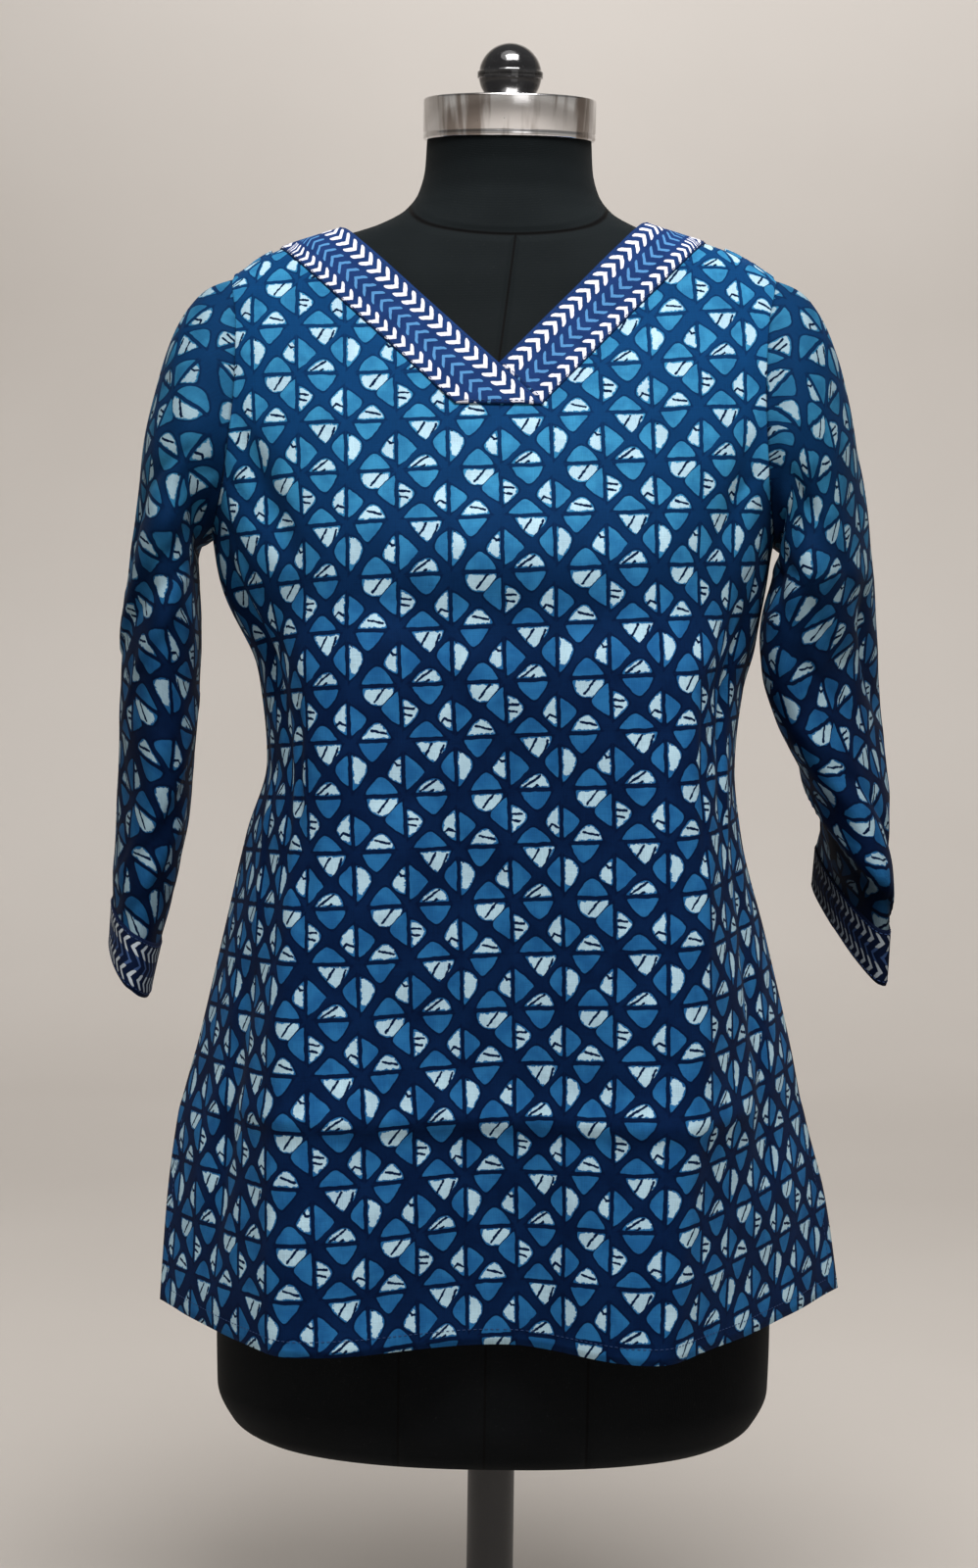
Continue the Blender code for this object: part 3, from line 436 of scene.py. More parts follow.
def form_jersey():
    """Matt black knit with fine ribs, lighter where it is dusty and dark in its seams, and painted lighter
    towards the neck and shoulders as painted light.
    """
    knit = Finish("form_cloth", {"Specular IOR Level": 0.05, "Sheen Weight": 0.02, "Sheen Roughness": 0.45})
    where = knit.coordinates()
    x, y, z = knit.parts(where)
    middle, bust, neck = knit.parts(knit.noted("seams"))
    middle = abs(middle) + neck.above(0.0)
    seam = abs(neck).least(middle).least(abs(bust))
    line = seam.rise(0.0011, 0.0003)
    cloud = knit.noise(where, 9.0, 4.0)
    lint = knit.noise(where, 700.0, 2.0).rise(0.68, 0.76)
    ribs = (knit.node("ShaderNodeMath", {"operation": "ARCTAN2"}, {0: y, 1: x}) * 900.0).sine()
    rows = (z * 6200.0).sine()
    fuzz = knit.noise(where, 1500.0, 2.0)
    # Painted light: the black is lighter and bluer towards the neck and shoulders, as if lit from above.
    low_black = knit.mix(cloud.rise(0.3, 0.75), (0.0022, 0.0028, 0.0034), (0.0046, 0.0056, 0.0064))
    painted_lit_black = knit.mix(cloud.rise(0.3, 0.75), (0.0048, 0.0068, 0.0078), (0.0080, 0.0108, 0.0122))
    colour = knit.mix(z.rise(0.60, 0.92), low_black, painted_lit_black)
    colour = knit.mix(lint * 0.25, colour, (0.028, 0.030, 0.032))
    fine = knit.relief(ribs * 0.18 + rows * 0.18 + fuzz * 0.5, 0.00018, 0.5)
    under_neck = neck.rise(0.0005, -0.0005) * 0.35 * abs(neck).rise(0.02, 0.0)
    swell = seam.rise(0.0, 0.0040) - under_neck
    knit.paint(
        Base_Color=knit.mix(line, colour, (0.0016, 0.0016, 0.0018)),
        Roughness=0.62 + fuzz * 0.2 + cloud * 0.08,
        Normal=knit.relief(swell, 0.0012, 0.8, fine),
    )
    return knit.material


points, seams = form_points()
levels, around = points.shape[:2]
faces = grid_faces(levels, around, True).tolist()
faces += [list(range(around))[::-1], [(levels - 1) * around + i for i in range(around)]]
torso = placed("form_cover", points.reshape(-1, 3), faces, [form_jersey()])
note(torso.data, "seams", seams)
smoothed(torso.data)
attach(torso, "root")
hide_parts("form_torso")


# The neck plate. A chromed steel collar with a flat lid, pressed onto the form's neck and leaning with it.
# Its edges are turned over and its side is polished round.
CAP_RADIUS = 0.0545
CAP_HEIGHT = 0.026
CAP_EDGE = 0.0016
CAP_LINE = 0.0003


def lean(piece, height):
    """Stands a turned piece on the leaning neck, this high above its end."""
    middle_y = (FORM.at("back", NECK_TOP_Z) - FORM.at("front", NECK_TOP_Z)) / 2
    foot = Matrix.Translation((0, middle_y, NECK_TOP_Z + middle_y * math.tan(NECK_TILT)))
    piece.data.transform(foot @ Matrix.Rotation(NECK_TILT, 4, "X") @ Matrix.Translation((0, 0, height)))


def polished_chrome():
    """Mirror bright, with hair scratches round it, faint water marks, and dark streaks on its side that are a
    painted reflection of a room.
    """
    chrome = Finish("chrome", {"Metallic": 1.0})
    where = chrome.coordinates()
    x, y, z = chrome.parts(where)
    hair = chrome.noise(chrome.joined(x * 9.0, y * 9.0, z * 900.0), 6.0, 4.0)
    marks = chrome.noise(where, 45.0, 5.0, 0.65)
    spots = chrome.noise(where, 320.0, 2.0).rise(0.70, 0.78)
    # Painted reflection: dark brown streaks round the side stand in for a room reflected in it, fading where
    # it faces up.
    painted_reflection_streaks = chrome.noise(chrome.joined(x * 75.0, y * 75.0, 3.0), 1.0, 3.0)
    colour = chrome.mix(marks.rise(0.4, 0.8) * 0.4, (0.88, 0.87, 0.88), (0.72, 0.70, 0.68))
    _, _, facing_up = chrome.parts(chrome.node("ShaderNodeNewGeometry", output="Normal"))
    painted_reflection_streaks = painted_reflection_streaks.rise(0.47, 0.60) * (1 - facing_up.rise(0.35, 0.75))
    colour = chrome.mix(painted_reflection_streaks * 0.85, colour, (0.26, 0.21, 0.18))
    chrome.paint(
        Base_Color=chrome.mix(spots * 0.5, colour, (0.30, 0.28, 0.26)),
        Roughness=0.06 + hair * 0.10 + marks * 0.10 + spots * 0.25,
        Normal=chrome.relief(hair, 0.00006, 0.35),
    )
    return chrome.material


inner = CAP_RADIUS - CAP_EDGE
plate = turned(
    "neck_plate",
    [(0, 0), (inner, 0)]
    + arc((inner, CAP_EDGE), CAP_EDGE, -80, 0, 6)
    + [(CAP_RADIUS, 0.0035), (CAP_RADIUS - CAP_LINE, 0.0039)]
    + [(CAP_RADIUS - CAP_LINE, 0.0046), (CAP_RADIUS, 0.0050)]
    + arc((inner, CAP_HEIGHT - CAP_EDGE), CAP_EDGE, 0, 90, 8)
    + [(0.0300, CAP_HEIGHT + 0.0001), (0.0235, CAP_HEIGHT), (0, CAP_HEIGHT)],
    polished_chrome(),
    steps=160,
)
lean(plate, 0.0003)
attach(plate, "root")
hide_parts("neck_cap")


# The knob that the form is lifted by. A ball moulded from glossy black plastic in two halves, with a proud
# lip where they join, screwed down onto the plate.
KNOB_RADIUS = 0.0198
KNOB_MIDDLE = 0.0145
KNOB_LIP = KNOB_RADIUS + 0.0009


def glossy_black():
    """Moulded plastic: glossy, with the faint waves of the mould, dust and rubbed spots."""
    plastic = Finish("black_plastic", {"Specular IOR Level": 0.55, "Coat Roughness": 0.05})
    where = plastic.coordinates()
    waves = plastic.noise(where, 90.0, 2.0)
    dust = plastic.noise(where, 1100.0, 2.0).rise(0.66, 0.74)
    rub = plastic.noise(where, 60.0, 6.0, 0.7).rise(0.5, 0.8)
    plastic.paint(
        Base_Color=plastic.mix(dust * 0.4 + rub * 0.1, (0.008, 0.008, 0.009), (0.11, 0.11, 0.11)),
        Roughness=0.10 + rub * 0.16 + dust * 0.2,
        Coat_Weight=0.5 - rub * 0.3,
        Normal=plastic.relief(waves, 0.00025, 0.25),
    )
    return plastic.material


foot_angle = -math.degrees(math.asin(KNOB_MIDDLE / KNOB_RADIUS))
knob = turned(
    "lifting_knob",
    [(0, 0)]
    + arc((0, KNOB_MIDDLE), KNOB_RADIUS, foot_angle, -7, 16)
    + [(KNOB_LIP - 0.0004, 0.0124), (KNOB_LIP, 0.0128), (KNOB_LIP, 0.0143), (KNOB_LIP - 0.0006, 0.0145),
       (KNOB_LIP, 0.0147), (KNOB_LIP, 0.0162), (KNOB_LIP - 0.0004, 0.0166)]
    + arc((0, KNOB_MIDDLE), KNOB_RADIUS, 8, 84, 20)
    + [(0, KNOB_MIDDLE + KNOB_RADIUS)],
    glossy_black(),
)
lean(knob, CAP_HEIGHT + 0.0006)
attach(knob, "root")
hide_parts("knob")


# The front and the back of the top. Thin plain-weave cotton, block printed in navy, blue and white, one
# piece each, sewn together at the shoulders and sides and parted in a slit at each hip. The front is cut to
# the V, the back to a shallow round neck. WALL is the cloth of the solids and CLOTH the thinner one that
# shows.
FINE = 7
WALL = 0.0016
CLOTH = 0.0007
UNDERARM_Z = 0.815
HEM_Z = 0.340
SLIT_TOP_Z = 0.458
SLIT_OPENING = 0.016
V_POINT_Z = 0.9155
BACK_NECK_Z = 0.994
BAND_WIDTH = 0.036
BAND_BOTTOM_Z = 0.890
FORM_CLEARANCE = 0.0022
PANEL_COLUMNS = 12 * FINE + 1
SKIRT_ROWS = 15 * FINE
CHEST_ROWS = 12 * FINE + 1
BAND_COLUMNS = 3 * FINE
NECKLINE_COLUMNS = 6 * FINE
BAND_FIRST_ROW = 4 * FINE
V_ROW = 6 * FINE
CROWDED_START = 1.3
CROWDED_END = 2.2
HANG_FROM_Z = 0.800
HANG_FREE_Z = 0.735
SEAM_DENT = 0.0007
SIDES = {"left": 1, "right": -1}

EASE = Table(
    ("height", "left", "right", "depth"),
    [
        (0.700, 0.022, 0.034, 0.0020),
        (0.785, 0.0148, 0.0280, 0.0020),
        (0.815, 0.0135, 0.0275, 0.0020),
        (0.860, 0.020, 0.026, 0.0014),
        (0.900, 0.014, 0.016, 0.0010),
        (0.930, 0.008, 0.009, 0.0010),
        (0.955, 0.004, 0.004, 0.0010),
        (0.980, 0.001, 0.001, 0.0010),
        (1.068, 0.000, 0.000, 0.0016),
    ],
)
# The skirt's level sections: the front fold, the side seam and the softer fold behind.
SKIRT_COLUMNS = ("height", "fold_x", "fold_y", "round", "seam_x", "seam_y", "back_x", "back_y")
SKIRT = {
    "right": Table(
        SKIRT_COLUMNS,
        [
            (0.340, 0.125, -0.147, 0.014, 0.206, -0.018, 0.092, 0.146),
            (0.400, 0.126, -0.145, 0.016, 0.204, -0.012, 0.092, 0.143),
            (0.450, 0.124, -0.142, 0.020, 0.199, -0.006, 0.092, 0.139),
            (0.500, 0.125, -0.139, 0.024, 0.187, -0.004, 0.092, 0.133),
            (0.569, 0.119, -0.136, 0.028, 0.172, -0.002, 0.090, 0.124),
            (0.630, 0.113, -0.133, 0.032, 0.159, 0.000, 0.088, 0.114),
            (0.674, 0.112, -0.131, 0.036, 0.147, 0.000, 0.087, 0.108),
            (0.724, 0.113, -0.130, 0.044, 0.152, 0.000, 0.096, 0.108),
            (0.815, 0.116, -0.128, 0.060, 0.186, 0.000, 0.098, 0.109),
        ],
    ),
    "left": Table(
        SKIRT_COLUMNS,
        [
            (0.340, 0.100, -0.153, 0.012, 0.220, 0.032, 0.096, 0.143),
            (0.400, 0.104, -0.150, 0.014, 0.210, 0.021, 0.095, 0.141),
            (0.450, 0.110, -0.146, 0.016, 0.196, 0.011, 0.094, 0.138),
            (0.500, 0.115, -0.142, 0.018, 0.185, 0.004, 0.093, 0.132),
            (0.569, 0.117, -0.138, 0.022, 0.168, 0.002, 0.091, 0.123),
            (0.630, 0.116, -0.134, 0.026, 0.152, 0.000, 0.089, 0.114),
            (0.674, 0.114, -0.132, 0.030, 0.147, 0.000, 0.088, 0.108),
            (0.724, 0.111, -0.131, 0.040, 0.152, 0.000, 0.096, 0.108),
            (0.750, 0.111, -0.130, 0.046, 0.159, 0.000, 0.097, 0.108),
            (0.815, 0.112, -0.128, 0.060, 0.168, 0.000, 0.098, 0.109),
        ],
    ),
}
CENTRE = Table(
    ("height", "x", "front_y", "back_y"),
    [
        (0.340, 0.0045, -0.113, 0.124),
        (0.450, 0.0035, -0.116, 0.123),
        (0.569, 0.0020, -0.121, 0.113),
        (0.674, 0.0000, -0.126, 0.104),
        (0.745, -0.0020, -0.130, 0.104),
        (0.815, -0.0030, -0.131, 0.105),
        (0.9155, -0.0050, -0.100, 0.100),
        (1.068, -0.0080, -0.060, 0.070),
    ],
)
SIDE_BULGE = {"front": 0.030, "back": 0.070}
FOLD_SOFTNESS = {"front": 1.0, "back": 2.0}
ARMHOLE = Table(
    ("share", "inset", "rise"),
    [
        (0.00, 0.000, 0.000),
        (0.12, 0.004, 0.066),
        (0.30, 0.009, 0.247),
        (0.55, 0.011, 0.524),
        (0.80, 0.008, 0.801),
        (1.00, 0.000, 1.000),
    ],
)
SHOULDER_TIP = {"left": 0.168, "right": 0.172}
NECK_POINT = {"left": 0.086, "right": 0.104}

# Folds in each half: height and distance from the middle at both ends, half width, and depth. The wide
# ones come first, then the small drag lines under the arms and the creases of the skirt.
PANEL_FOLDS = {
    ("front", "right"): [
        (0.900, 0.175, 0.790, 0.128, 0.013, -0.0060),
        (0.835, 0.205, 0.700, 0.170, 0.012, -0.0060),
        (0.560, 0.180, 0.360, 0.215, 0.015, -0.0060),
        (0.870, 0.196, 0.815, 0.150, 0.005, -0.0022),
        (0.842, 0.200, 0.760, 0.152, 0.005, -0.0020),
        (0.800, 0.186, 0.660, 0.150, 0.006, -0.0022),
        (0.760, 0.158, 0.600, 0.138, 0.006, -0.0018),
        (0.700, 0.196, 0.560, 0.176, 0.006, 0.0022),
        (0.735, 0.132, 0.600, 0.124, 0.0055, -0.0026),
        (0.690, 0.112, 0.520, 0.120, 0.007, -0.0020),
        (0.600, 0.064, 0.400, 0.058, 0.018, -0.0012),
    ],
    ("front", "left"): [
        (0.895, 0.172, 0.800, 0.140, 0.012, -0.0050),
        (0.810, 0.190, 0.640, 0.158, 0.011, -0.0050),
        (0.640, 0.185, 0.420, 0.215, 0.014, -0.0050),
        (0.875, 0.186, 0.835, 0.150, 0.005, -0.0018),
        (0.800, 0.172, 0.690, 0.146, 0.005, -0.0022),
        (0.770, 0.150, 0.650, 0.132, 0.006, -0.0018),
        (0.720, 0.178, 0.600, 0.168, 0.006, 0.0022),
        (0.735, 0.128, 0.610, 0.122, 0.0055, -0.0028),
        (0.690, 0.110, 0.500, 0.116, 0.007, -0.0020),
        (0.560, 0.060, 0.380, 0.050, 0.016, -0.0012),
    ],
    ("back", "right"): [
        (0.880, 0.150, 0.700, 0.125, 0.016, 0.0050),
        (0.640, 0.170, 0.360, 0.195, 0.018, -0.0060),
        (0.690, 0.034, 0.360, 0.050, 0.022, -0.0040),
        (0.850, 0.200, 0.760, 0.156, 0.006, -0.0022),
        (0.790, 0.182, 0.670, 0.155, 0.006, -0.0020),
        (0.710, 0.070, 0.600, 0.082, 0.008, -0.0016),
    ],
    ("back", "left"): [
        (0.880, 0.150, 0.700, 0.125, 0.016, 0.0050),
        (0.660, 0.165, 0.370, 0.200, 0.018, -0.0070),
        (0.690, 0.030, 0.360, 0.042, 0.022, -0.0040),
        (0.850, 0.190, 0.760, 0.150, 0.006, -0.0022),
        (0.800, 0.175, 0.680, 0.150, 0.006, -0.0020),
        (0.720, 0.080, 0.600, 0.088, 0.008, -0.0016),
    ],
}
# Where the top was pressed flat in its packet: a level crease across the skirt.
PRESSED_Z = 0.4715
PRESSED_HEIGHT = 0.0048
PRESSED_SPREAD = 0.0150
PRESSED_DROP = 0.0050
PRESSED_LEAN = 0.004
# How deep the slight waviness is, where it dies away towards the shoulder and beside the neck band, and how
# far out the pressed crease fades.
UNEVEN = 0.00042
CALM_FROM_Z = 0.86
CALM_Z = 0.95
CALM_BESIDE_BAND = (0.030, 0.055)
PRESSED_FADE = (0.13, 0.24)
UNEVEN_SEED = {"front": 3, "back": 7}
# How many rows or columns are drawn after an edge that is moved to its seam.
MIDDLE_REACH = 4.0 * FINE
SIDE_REACH = 4.0
SHOULDER_REACH = 8.0
ARMHOLE_REACH = 3.0
ARMHOLE_DENT = 0.0002
SLIT_SEWN_FROM = 0.004
SLIT_SEWN_BY = 0.008
SEARCH_STEPS = 2801


def resampled(points, count):
    """The same path with evenly spaced points."""
    points = np.array(points)
    lengths = np.concatenate([[0], np.cumsum(np.linalg.norm(np.diff(points, axis=0), axis=1))])
    wanted = np.linspace(0, lengths[-1], count)
    return np.stack([np.interp(wanted, lengths, points[:, k]) for k in range(points.shape[1])], axis=1)


def body_half_width(side, z):
    return FORM.at("half_width", z - FORM_CLEARANCE) + EASE.at(side, z) + FORM_CLEARANCE / 2


def body_depth(panel, side, x, z):
    """Depth of the inner side of the cloth on the form, for any x and z above the hanging skirt."""
    depth = FORM.at(panel, z - FORM_CLEARANCE) + FORM_CLEARANCE + EASE.at("depth", z)
    share = np.minimum(1.0, np.abs(x) / body_half_width(side, z))
    squareness = FORM.at("squareness", z)
    found = depth * (1 - share**squareness) ** (1 / squareness)
    if panel == "front":
        found = np.where(found > 0, found + bust_depth(x, z, True), found)
    return found


def joined_depth(panel, x, z):
    """The same for a signed x. Near the middle the two sides, which differ a little, blend."""
    left = body_depth(panel, "left", x, z)
    right = body_depth(panel, "right", x, z)
    share = smoothstep(-0.05, 0.05, x - CENTRE.at("x", z))
    return left * share + right * (1 - share)


def snug_section(panel, side, z, count):
    """The level section of the cloth on the form, from the middle line to the side, as (x, depth)."""
    width = body_half_width(side, z)
    middle = CENTRE.at("x", z) * SIDES[side]
    xs = middle + (width - middle) * np.sin(np.linspace(0, math.pi / 2, 240))
    return resampled(np.stack([xs, body_depth(panel, side, xs, z)], axis=1), count)


def hanging_section(panel, side, z, count):
    """The level section of the hanging skirt, from the middle line round the fold to the side seam."""
    table = SKIRT[side]
    front = panel == "front"
    middle = np.array([CENTRE.at("x", z) * SIDES[side], abs(CENTRE.at(panel + "_y", z))])
    fold_x, fold_y = ("fold_x", "fold_y") if front else ("back_x", "back_y")
    fold = np.array([table.at(fold_x, z), abs(table.at(fold_y, z))])
    seam = np.array([table.at("seam_x", z), table.at("seam_y", z) * (-1 if front else 1)])
    rounding = table.at("round", z) * FOLD_SOFTNESS[panel]
    t = np.linspace(0, 1, 60)[:, None]
    aside = (seam - fold) / np.linalg.norm(seam - fold)
    start, end = np.array([fold[0] - rounding, fold[1]]), fold + rounding * aside
    eased = 0.5 - 0.5 * np.cos(math.pi * t)
    across = np.concatenate(
        [middle[0] + (start[0] - middle[0]) * t, middle[1] + (fold[1] - middle[1]) * eased], axis=1
    )
    corner = (1 - t) ** 2 * start + 2 * t * (1 - t) * fold + t * t * end
    outward = np.array([-aside[1], aside[0]])
    outward = -outward if outward[0] < 0 else outward
    bulge = SIDE_BULGE[panel] * np.linalg.norm(seam - end)
    flank = end + (seam - end) * t + outward * bulge * np.sin(math.pi * t)
    return resampled(np.concatenate([across, corner[1:], flank[1:]]), count)


def skirt_section(panel, side, z, count):
    snug = snug_section(panel, side, z, count)
    free = 1 - smoothstep(HANG_FREE_Z, HANG_FROM_Z, z)
    if free <= 0:
        return snug
    return snug + (hanging_section(panel, side, z, count) - snug) * free


RIDGE_Z = np.linspace(0.95, 1.03, 641)
RIDGE_X = {side: body_half_width(side, RIDGE_Z) for side in SIDES}


def ridge_height(side, x):
    """Height of the shoulder line above a distance from the middle."""
    return np.interp(-np.asarray(x), -RIDGE_X[side], RIDGE_Z)


def crowded(count):
    """Shares from 0 to 1 that lie closer together at both ends, most of all towards 1."""
    return 1 - (1 - np.linspace(0, 1, count) ** CROWDED_START) ** CROWDED_END


def armhole_line(side):
    """The armhole's edge seen from the front, as (x, z), from the underarm to the shoulder."""
    share = crowded(CHEST_ROWS)
    low, high = body_half_width(side, UNDERARM_Z), SHOULDER_TIP[side]
    x = low + (high - low) * share - ARMHOLE.at("inset", share)
    z = UNDERARM_Z + (ridge_height(side, high) - UNDERARM_Z) * ARMHOLE.at("rise", share)
    return np.stack([x, z], axis=1)


def coons(bottom, top, inner, outer):
    """The patch of points inside four edges, each given as points; rows run from bottom to top."""
    u = np.linspace(0, 1, len(bottom))[None, :, None]
    v = np.linspace(0, 1, len(inner))[:, None, None]
    corners = (
        (1 - u) * (1 - v) * bottom[0] + u * (1 - v) * bottom[-1] + (1 - u) * v * top[0] + u * v * top[-1]
    )
    return (1 - v) * bottom[None] + v * top[None] + (1 - u) * inner[:, None] + u * outer[:, None] - corners


def between(start, end, shares):
    return start + (end - start) * np.asarray(shares)[:, None]


def middle_point(side, z):
    return np.array([CENTRE.at("x", z) * SIDES[side], z])


def neckline(side):
    """The V point and the neck point seen from the front, and the directions along and across the band."""
    point = middle_point(side, V_POINT_Z)
    neck = np.array([NECK_POINT[side], float(ridge_height(side, NECK_POINT[side]))])
    along = (neck - point) / np.linalg.norm(neck - point)
    return point, neck, along, np.array([along[1], -along[0]])


def shoulder_line(side, start_x, count):
    xs = np.linspace(start_x, SHOULDER_TIP[side], count)
    return np.stack([xs, ridge_height(side, xs)], axis=1)


def underarm_row(panel, side):
    row = snug_section(panel, side, UNDERARM_Z, PANEL_COLUMNS)
    return np.stack([row[:, 0], np.full(PANEL_COLUMNS, UNDERARM_Z)], axis=1)


def front_chest(side):
    """The front above the underarm as points (x, z). Its first columns follow the neckline's band."""
    low = underarm_row("front", side)
    point, neck, along, across = neckline(side)
    foot = middle_point(side, BAND_BOTTOM_Z)
    upper_rows = CHEST_ROWS - V_ROW
    inner = np.concatenate([
        between(low[0], foot, np.linspace(0, 1, BAND_FIRST_ROW + 1)),
        between(foot, point, np.linspace(0, 1, V_ROW - BAND_FIRST_ROW + 1))[1:],
        between(point, neck, crowded(upper_rows))[1:],
    ])
    outer_foot = point + across * BAND_WIDTH
    outer_foot = outer_foot + along * (BAND_BOTTOM_Z - outer_foot[1]) / along[1]
    reach = neck + across * BAND_WIDTH + along * np.linspace(-0.02, 0.05, SEARCH_STEPS)[:, None]
    head_x = reach[np.argmax(reach[:, 1] > ridge_height(side, reach[:, 0])), 0]
    outer_head = np.array([head_x, float(ridge_height(side, head_x))])
    foot_share = (V_POINT_Z - BAND_BOTTOM_Z) / (neck[1] - BAND_BOTTOM_Z)
    shares = np.concatenate([
        np.linspace(0, foot_share, V_ROW - BAND_FIRST_ROW + 1),
        foot_share + (1 - foot_share) * crowded(upper_rows)[1:],
    ])
    edge = np.concatenate([
        between(low[BAND_COLUMNS], outer_foot, np.linspace(0, 1, BAND_FIRST_ROW + 1)),
        between(outer_foot, outer_head, shares)[1:],
    ])
    tops = np.linspace(neck[0], outer_head[0], BAND_COLUMNS + 1)
    strip = coons(low[:BAND_COLUMNS + 1], np.stack([tops, ridge_height(side, tops)], axis=1), inner, edge)
    rest_top = shoulder_line(side, outer_head[0], PANEL_COLUMNS - BAND_COLUMNS)
    rest = coons(low[BAND_COLUMNS:], rest_top, edge, armhole_line(side))
    return np.concatenate([strip[:, :-1], rest], axis=1)


def back_chest(side):
    """The back above the underarm as points (x, z), up to the neckline and the shoulder."""
    low = underarm_row("back", side)
    nape = middle_point(side, BACK_NECK_Z)
    neck = np.array([NECK_POINT[side], float(ridge_height(side, NECK_POINT[side]))])
    inner = between(low[0], nape, crowded(CHEST_ROWS))
    t = crowded(NECKLINE_COLUMNS + 1)[:, None]
    curve = nape + (neck - nape) * np.concatenate([t, t**3], axis=1)
    shoulder = shoulder_line(side, neck[0], PANEL_COLUMNS - NECKLINE_COLUMNS)
    return coons(low, np.concatenate([curve[:-1], shoulder]), inner, armhole_line(side))


def panel_half(panel, side):
    """The inner side of half a panel, from the hem up to the shoulder, as a grid of points."""
    sign, facing = SIDES[side], -1 if panel == "front" else 1
    rows = []
    for z in np.linspace(HEM_Z, UNDERARM_Z, SKIRT_ROWS + 1)[:-1]:
        section = skirt_section(panel, side, z, PANEL_COLUMNS)
        parted = SLIT_OPENING / 2 * (1 - smoothstep(HEM_Z, SLIT_TOP_Z, z)) ** 2
        depths = section[:, 1] + parted * np.linspace(0, 1, PANEL_COLUMNS) ** 6
        rows.append(np.stack([sign * section[:, 0], facing * depths, np.full(PANEL_COLUMNS, z)], axis=1))
    chest = front_chest(side) if panel == "front" else back_chest(side)
    x, z = chest[..., 0], chest[..., 1]
    depth = np.maximum(0, joined_depth(panel, sign * x, z))
    return np.concatenate([np.array(rows), np.stack([sign * x, facing * depth, z], axis=-1)])


def fold_depth(folds, height, place):
    """Depth of soft folds at heights and places across the cloth, each fading out at its two ends."""
    total = np.zeros(np.shape(height))
    for top_z, top_s, low_z, low_s, spread, depth in folds:
        t = (top_z - height) / (top_z - low_z)
        inside = np.clip(t, 0, 1)
        line = top_s + (low_s - top_s) * inside
        total += depth * np.sin(math.pi * inside) ** 0.8 * np.exp(-(((place - line) / spread) ** 2))
    return total


def unevenness(u, v, seed, waves=26):
    """The slight waviness of any pressed cotton, from -1 to 1 or so, out of many small slanting waves."""
    rng = np.random.default_rng(seed)
    total = np.zeros(np.shape(u))
    for _ in range(waves):
        length = rng.uniform(0.022, 0.085)
        angle = rng.uniform(0, 2 * math.pi)
        turn = 2 * math.pi / length
        shift = rng.uniform(0, 2 * math.pi)
        total += (length / 0.05) * np.sin(turn * (u * math.cos(angle) + v * math.sin(angle)) + shift)
    return total / math.sqrt(waves)


def arc_places(grid):
    """How far along its row each point lies, from the row's first point."""
    lengths = np.linalg.norm(np.diff(grid, axis=1), axis=2)
    return np.concatenate([np.zeros((len(grid), 1)), np.cumsum(lengths, axis=1)], axis=1)


def chest_place(panel, side, x, z):
    """Where chest cloth was before it was worn, as (out from the middle, up), measured along the body."""
    sign = SIDES[side]
    steps = np.linspace(0, 1, 40)
    middle = CENTRE.at("x", z) * sign
    widest = np.minimum(x, body_half_width(side, z) * 0.9995)
    xs = middle[..., None] + (widest - middle)[..., None] * steps
    depths = joined_depth(panel, sign * xs, np.repeat(z[..., None], len(steps), axis=-1))
    out = np.hypot(np.diff(xs), np.diff(depths)).sum(axis=-1) + (x - widest)
    zs = UNDERARM_Z + (z - UNDERARM_Z)[..., None] * steps
    depths = joined_depth(panel, sign * np.repeat(x[..., None], len(steps), axis=-1), zs)
    up = np.hypot(np.diff(zs), np.diff(np.maximum(0, depths))).sum(axis=-1)
    return out, UNDERARM_Z + up


def cloth_places(panel, side, grid):
    """Where each point was on the flat cloth, in metres from the middle line and from the floor."""
    out = arc_places(grid)
    up = grid[..., 2].copy()
    chest = grid[SKIRT_ROWS:]
    out[SKIRT_ROWS:], up[SKIRT_ROWS:] = chest_place(panel, side, SIDES[side] * chest[..., 0], chest[..., 2])
    return out, up


def dressed_half(panel, side):
    """The outer surface of half a panel with its folds, and where its points are on the flat cloth."""
    grid = panel_half(panel, side)
    normals = outward_normals(grid, False)
    places = arc_places(grid)
    out, up = cloth_places(panel, side, grid)
    column = np.linspace(0, 1, PANEL_COLUMNS)
    held = np.sin(math.pi * column) ** 0.5
    depth = fold_depth(PANEL_FOLDS[panel, side], grid[..., 2], places) * held
    free = smoothstep(0.0, 0.04, places[:, -1:] - places) * (1 - smoothstep(CALM_FROM_Z, CALM_Z, up) * 0.6)
    if panel == "front":
        band = smoothstep(*CALM_BESIDE_BAND, band_place(side, grid)[1])
        free = free * np.maximum(band, up < UNDERARM_Z)
    depth = depth + UNEVEN * unevenness(SIDES[side] * out, up, UNEVEN_SEED[panel]) * free
    crease = PRESSED_HEIGHT if panel == "front" else PRESSED_HEIGHT * 0.6
    fade = 1 - smoothstep(*PRESSED_FADE, places)
    above = grid[..., 2] - PRESSED_Z - PRESSED_LEAN * places
    depth = depth + crease * np.exp(-np.abs(above) / np.where(above > 0, PRESSED_SPREAD, PRESSED_DROP)) * fade
    return grid + normals * (WALL + depth)[..., None], out, up


def band_place(side, grid):
    """Seen from the front, how far points lie up along the neckline from the V point, and across from it."""
    point, _, along, across = neckline(side)
    flat = np.stack([grid[..., 0] * SIDES[side], grid[..., 2]], axis=-1) - point
    return flat @ along, flat @ across


def pulled(grid, target, reach, axis):
    """The grid with its last row or column moved to the target, and what is within reach drawn after it."""
    last = grid[-1] if axis == 0 else grid[:, -1]
    shift = target - last
    count = grid.shape[axis]
    fall = smoothstep(0, 1, 1 - (count - 1 - np.arange(count)) / reach)
    if axis == 0:
        return grid + fall[:, None, None] * shift[None]
    return grid + fall[None, :, None] * shift[:, None]


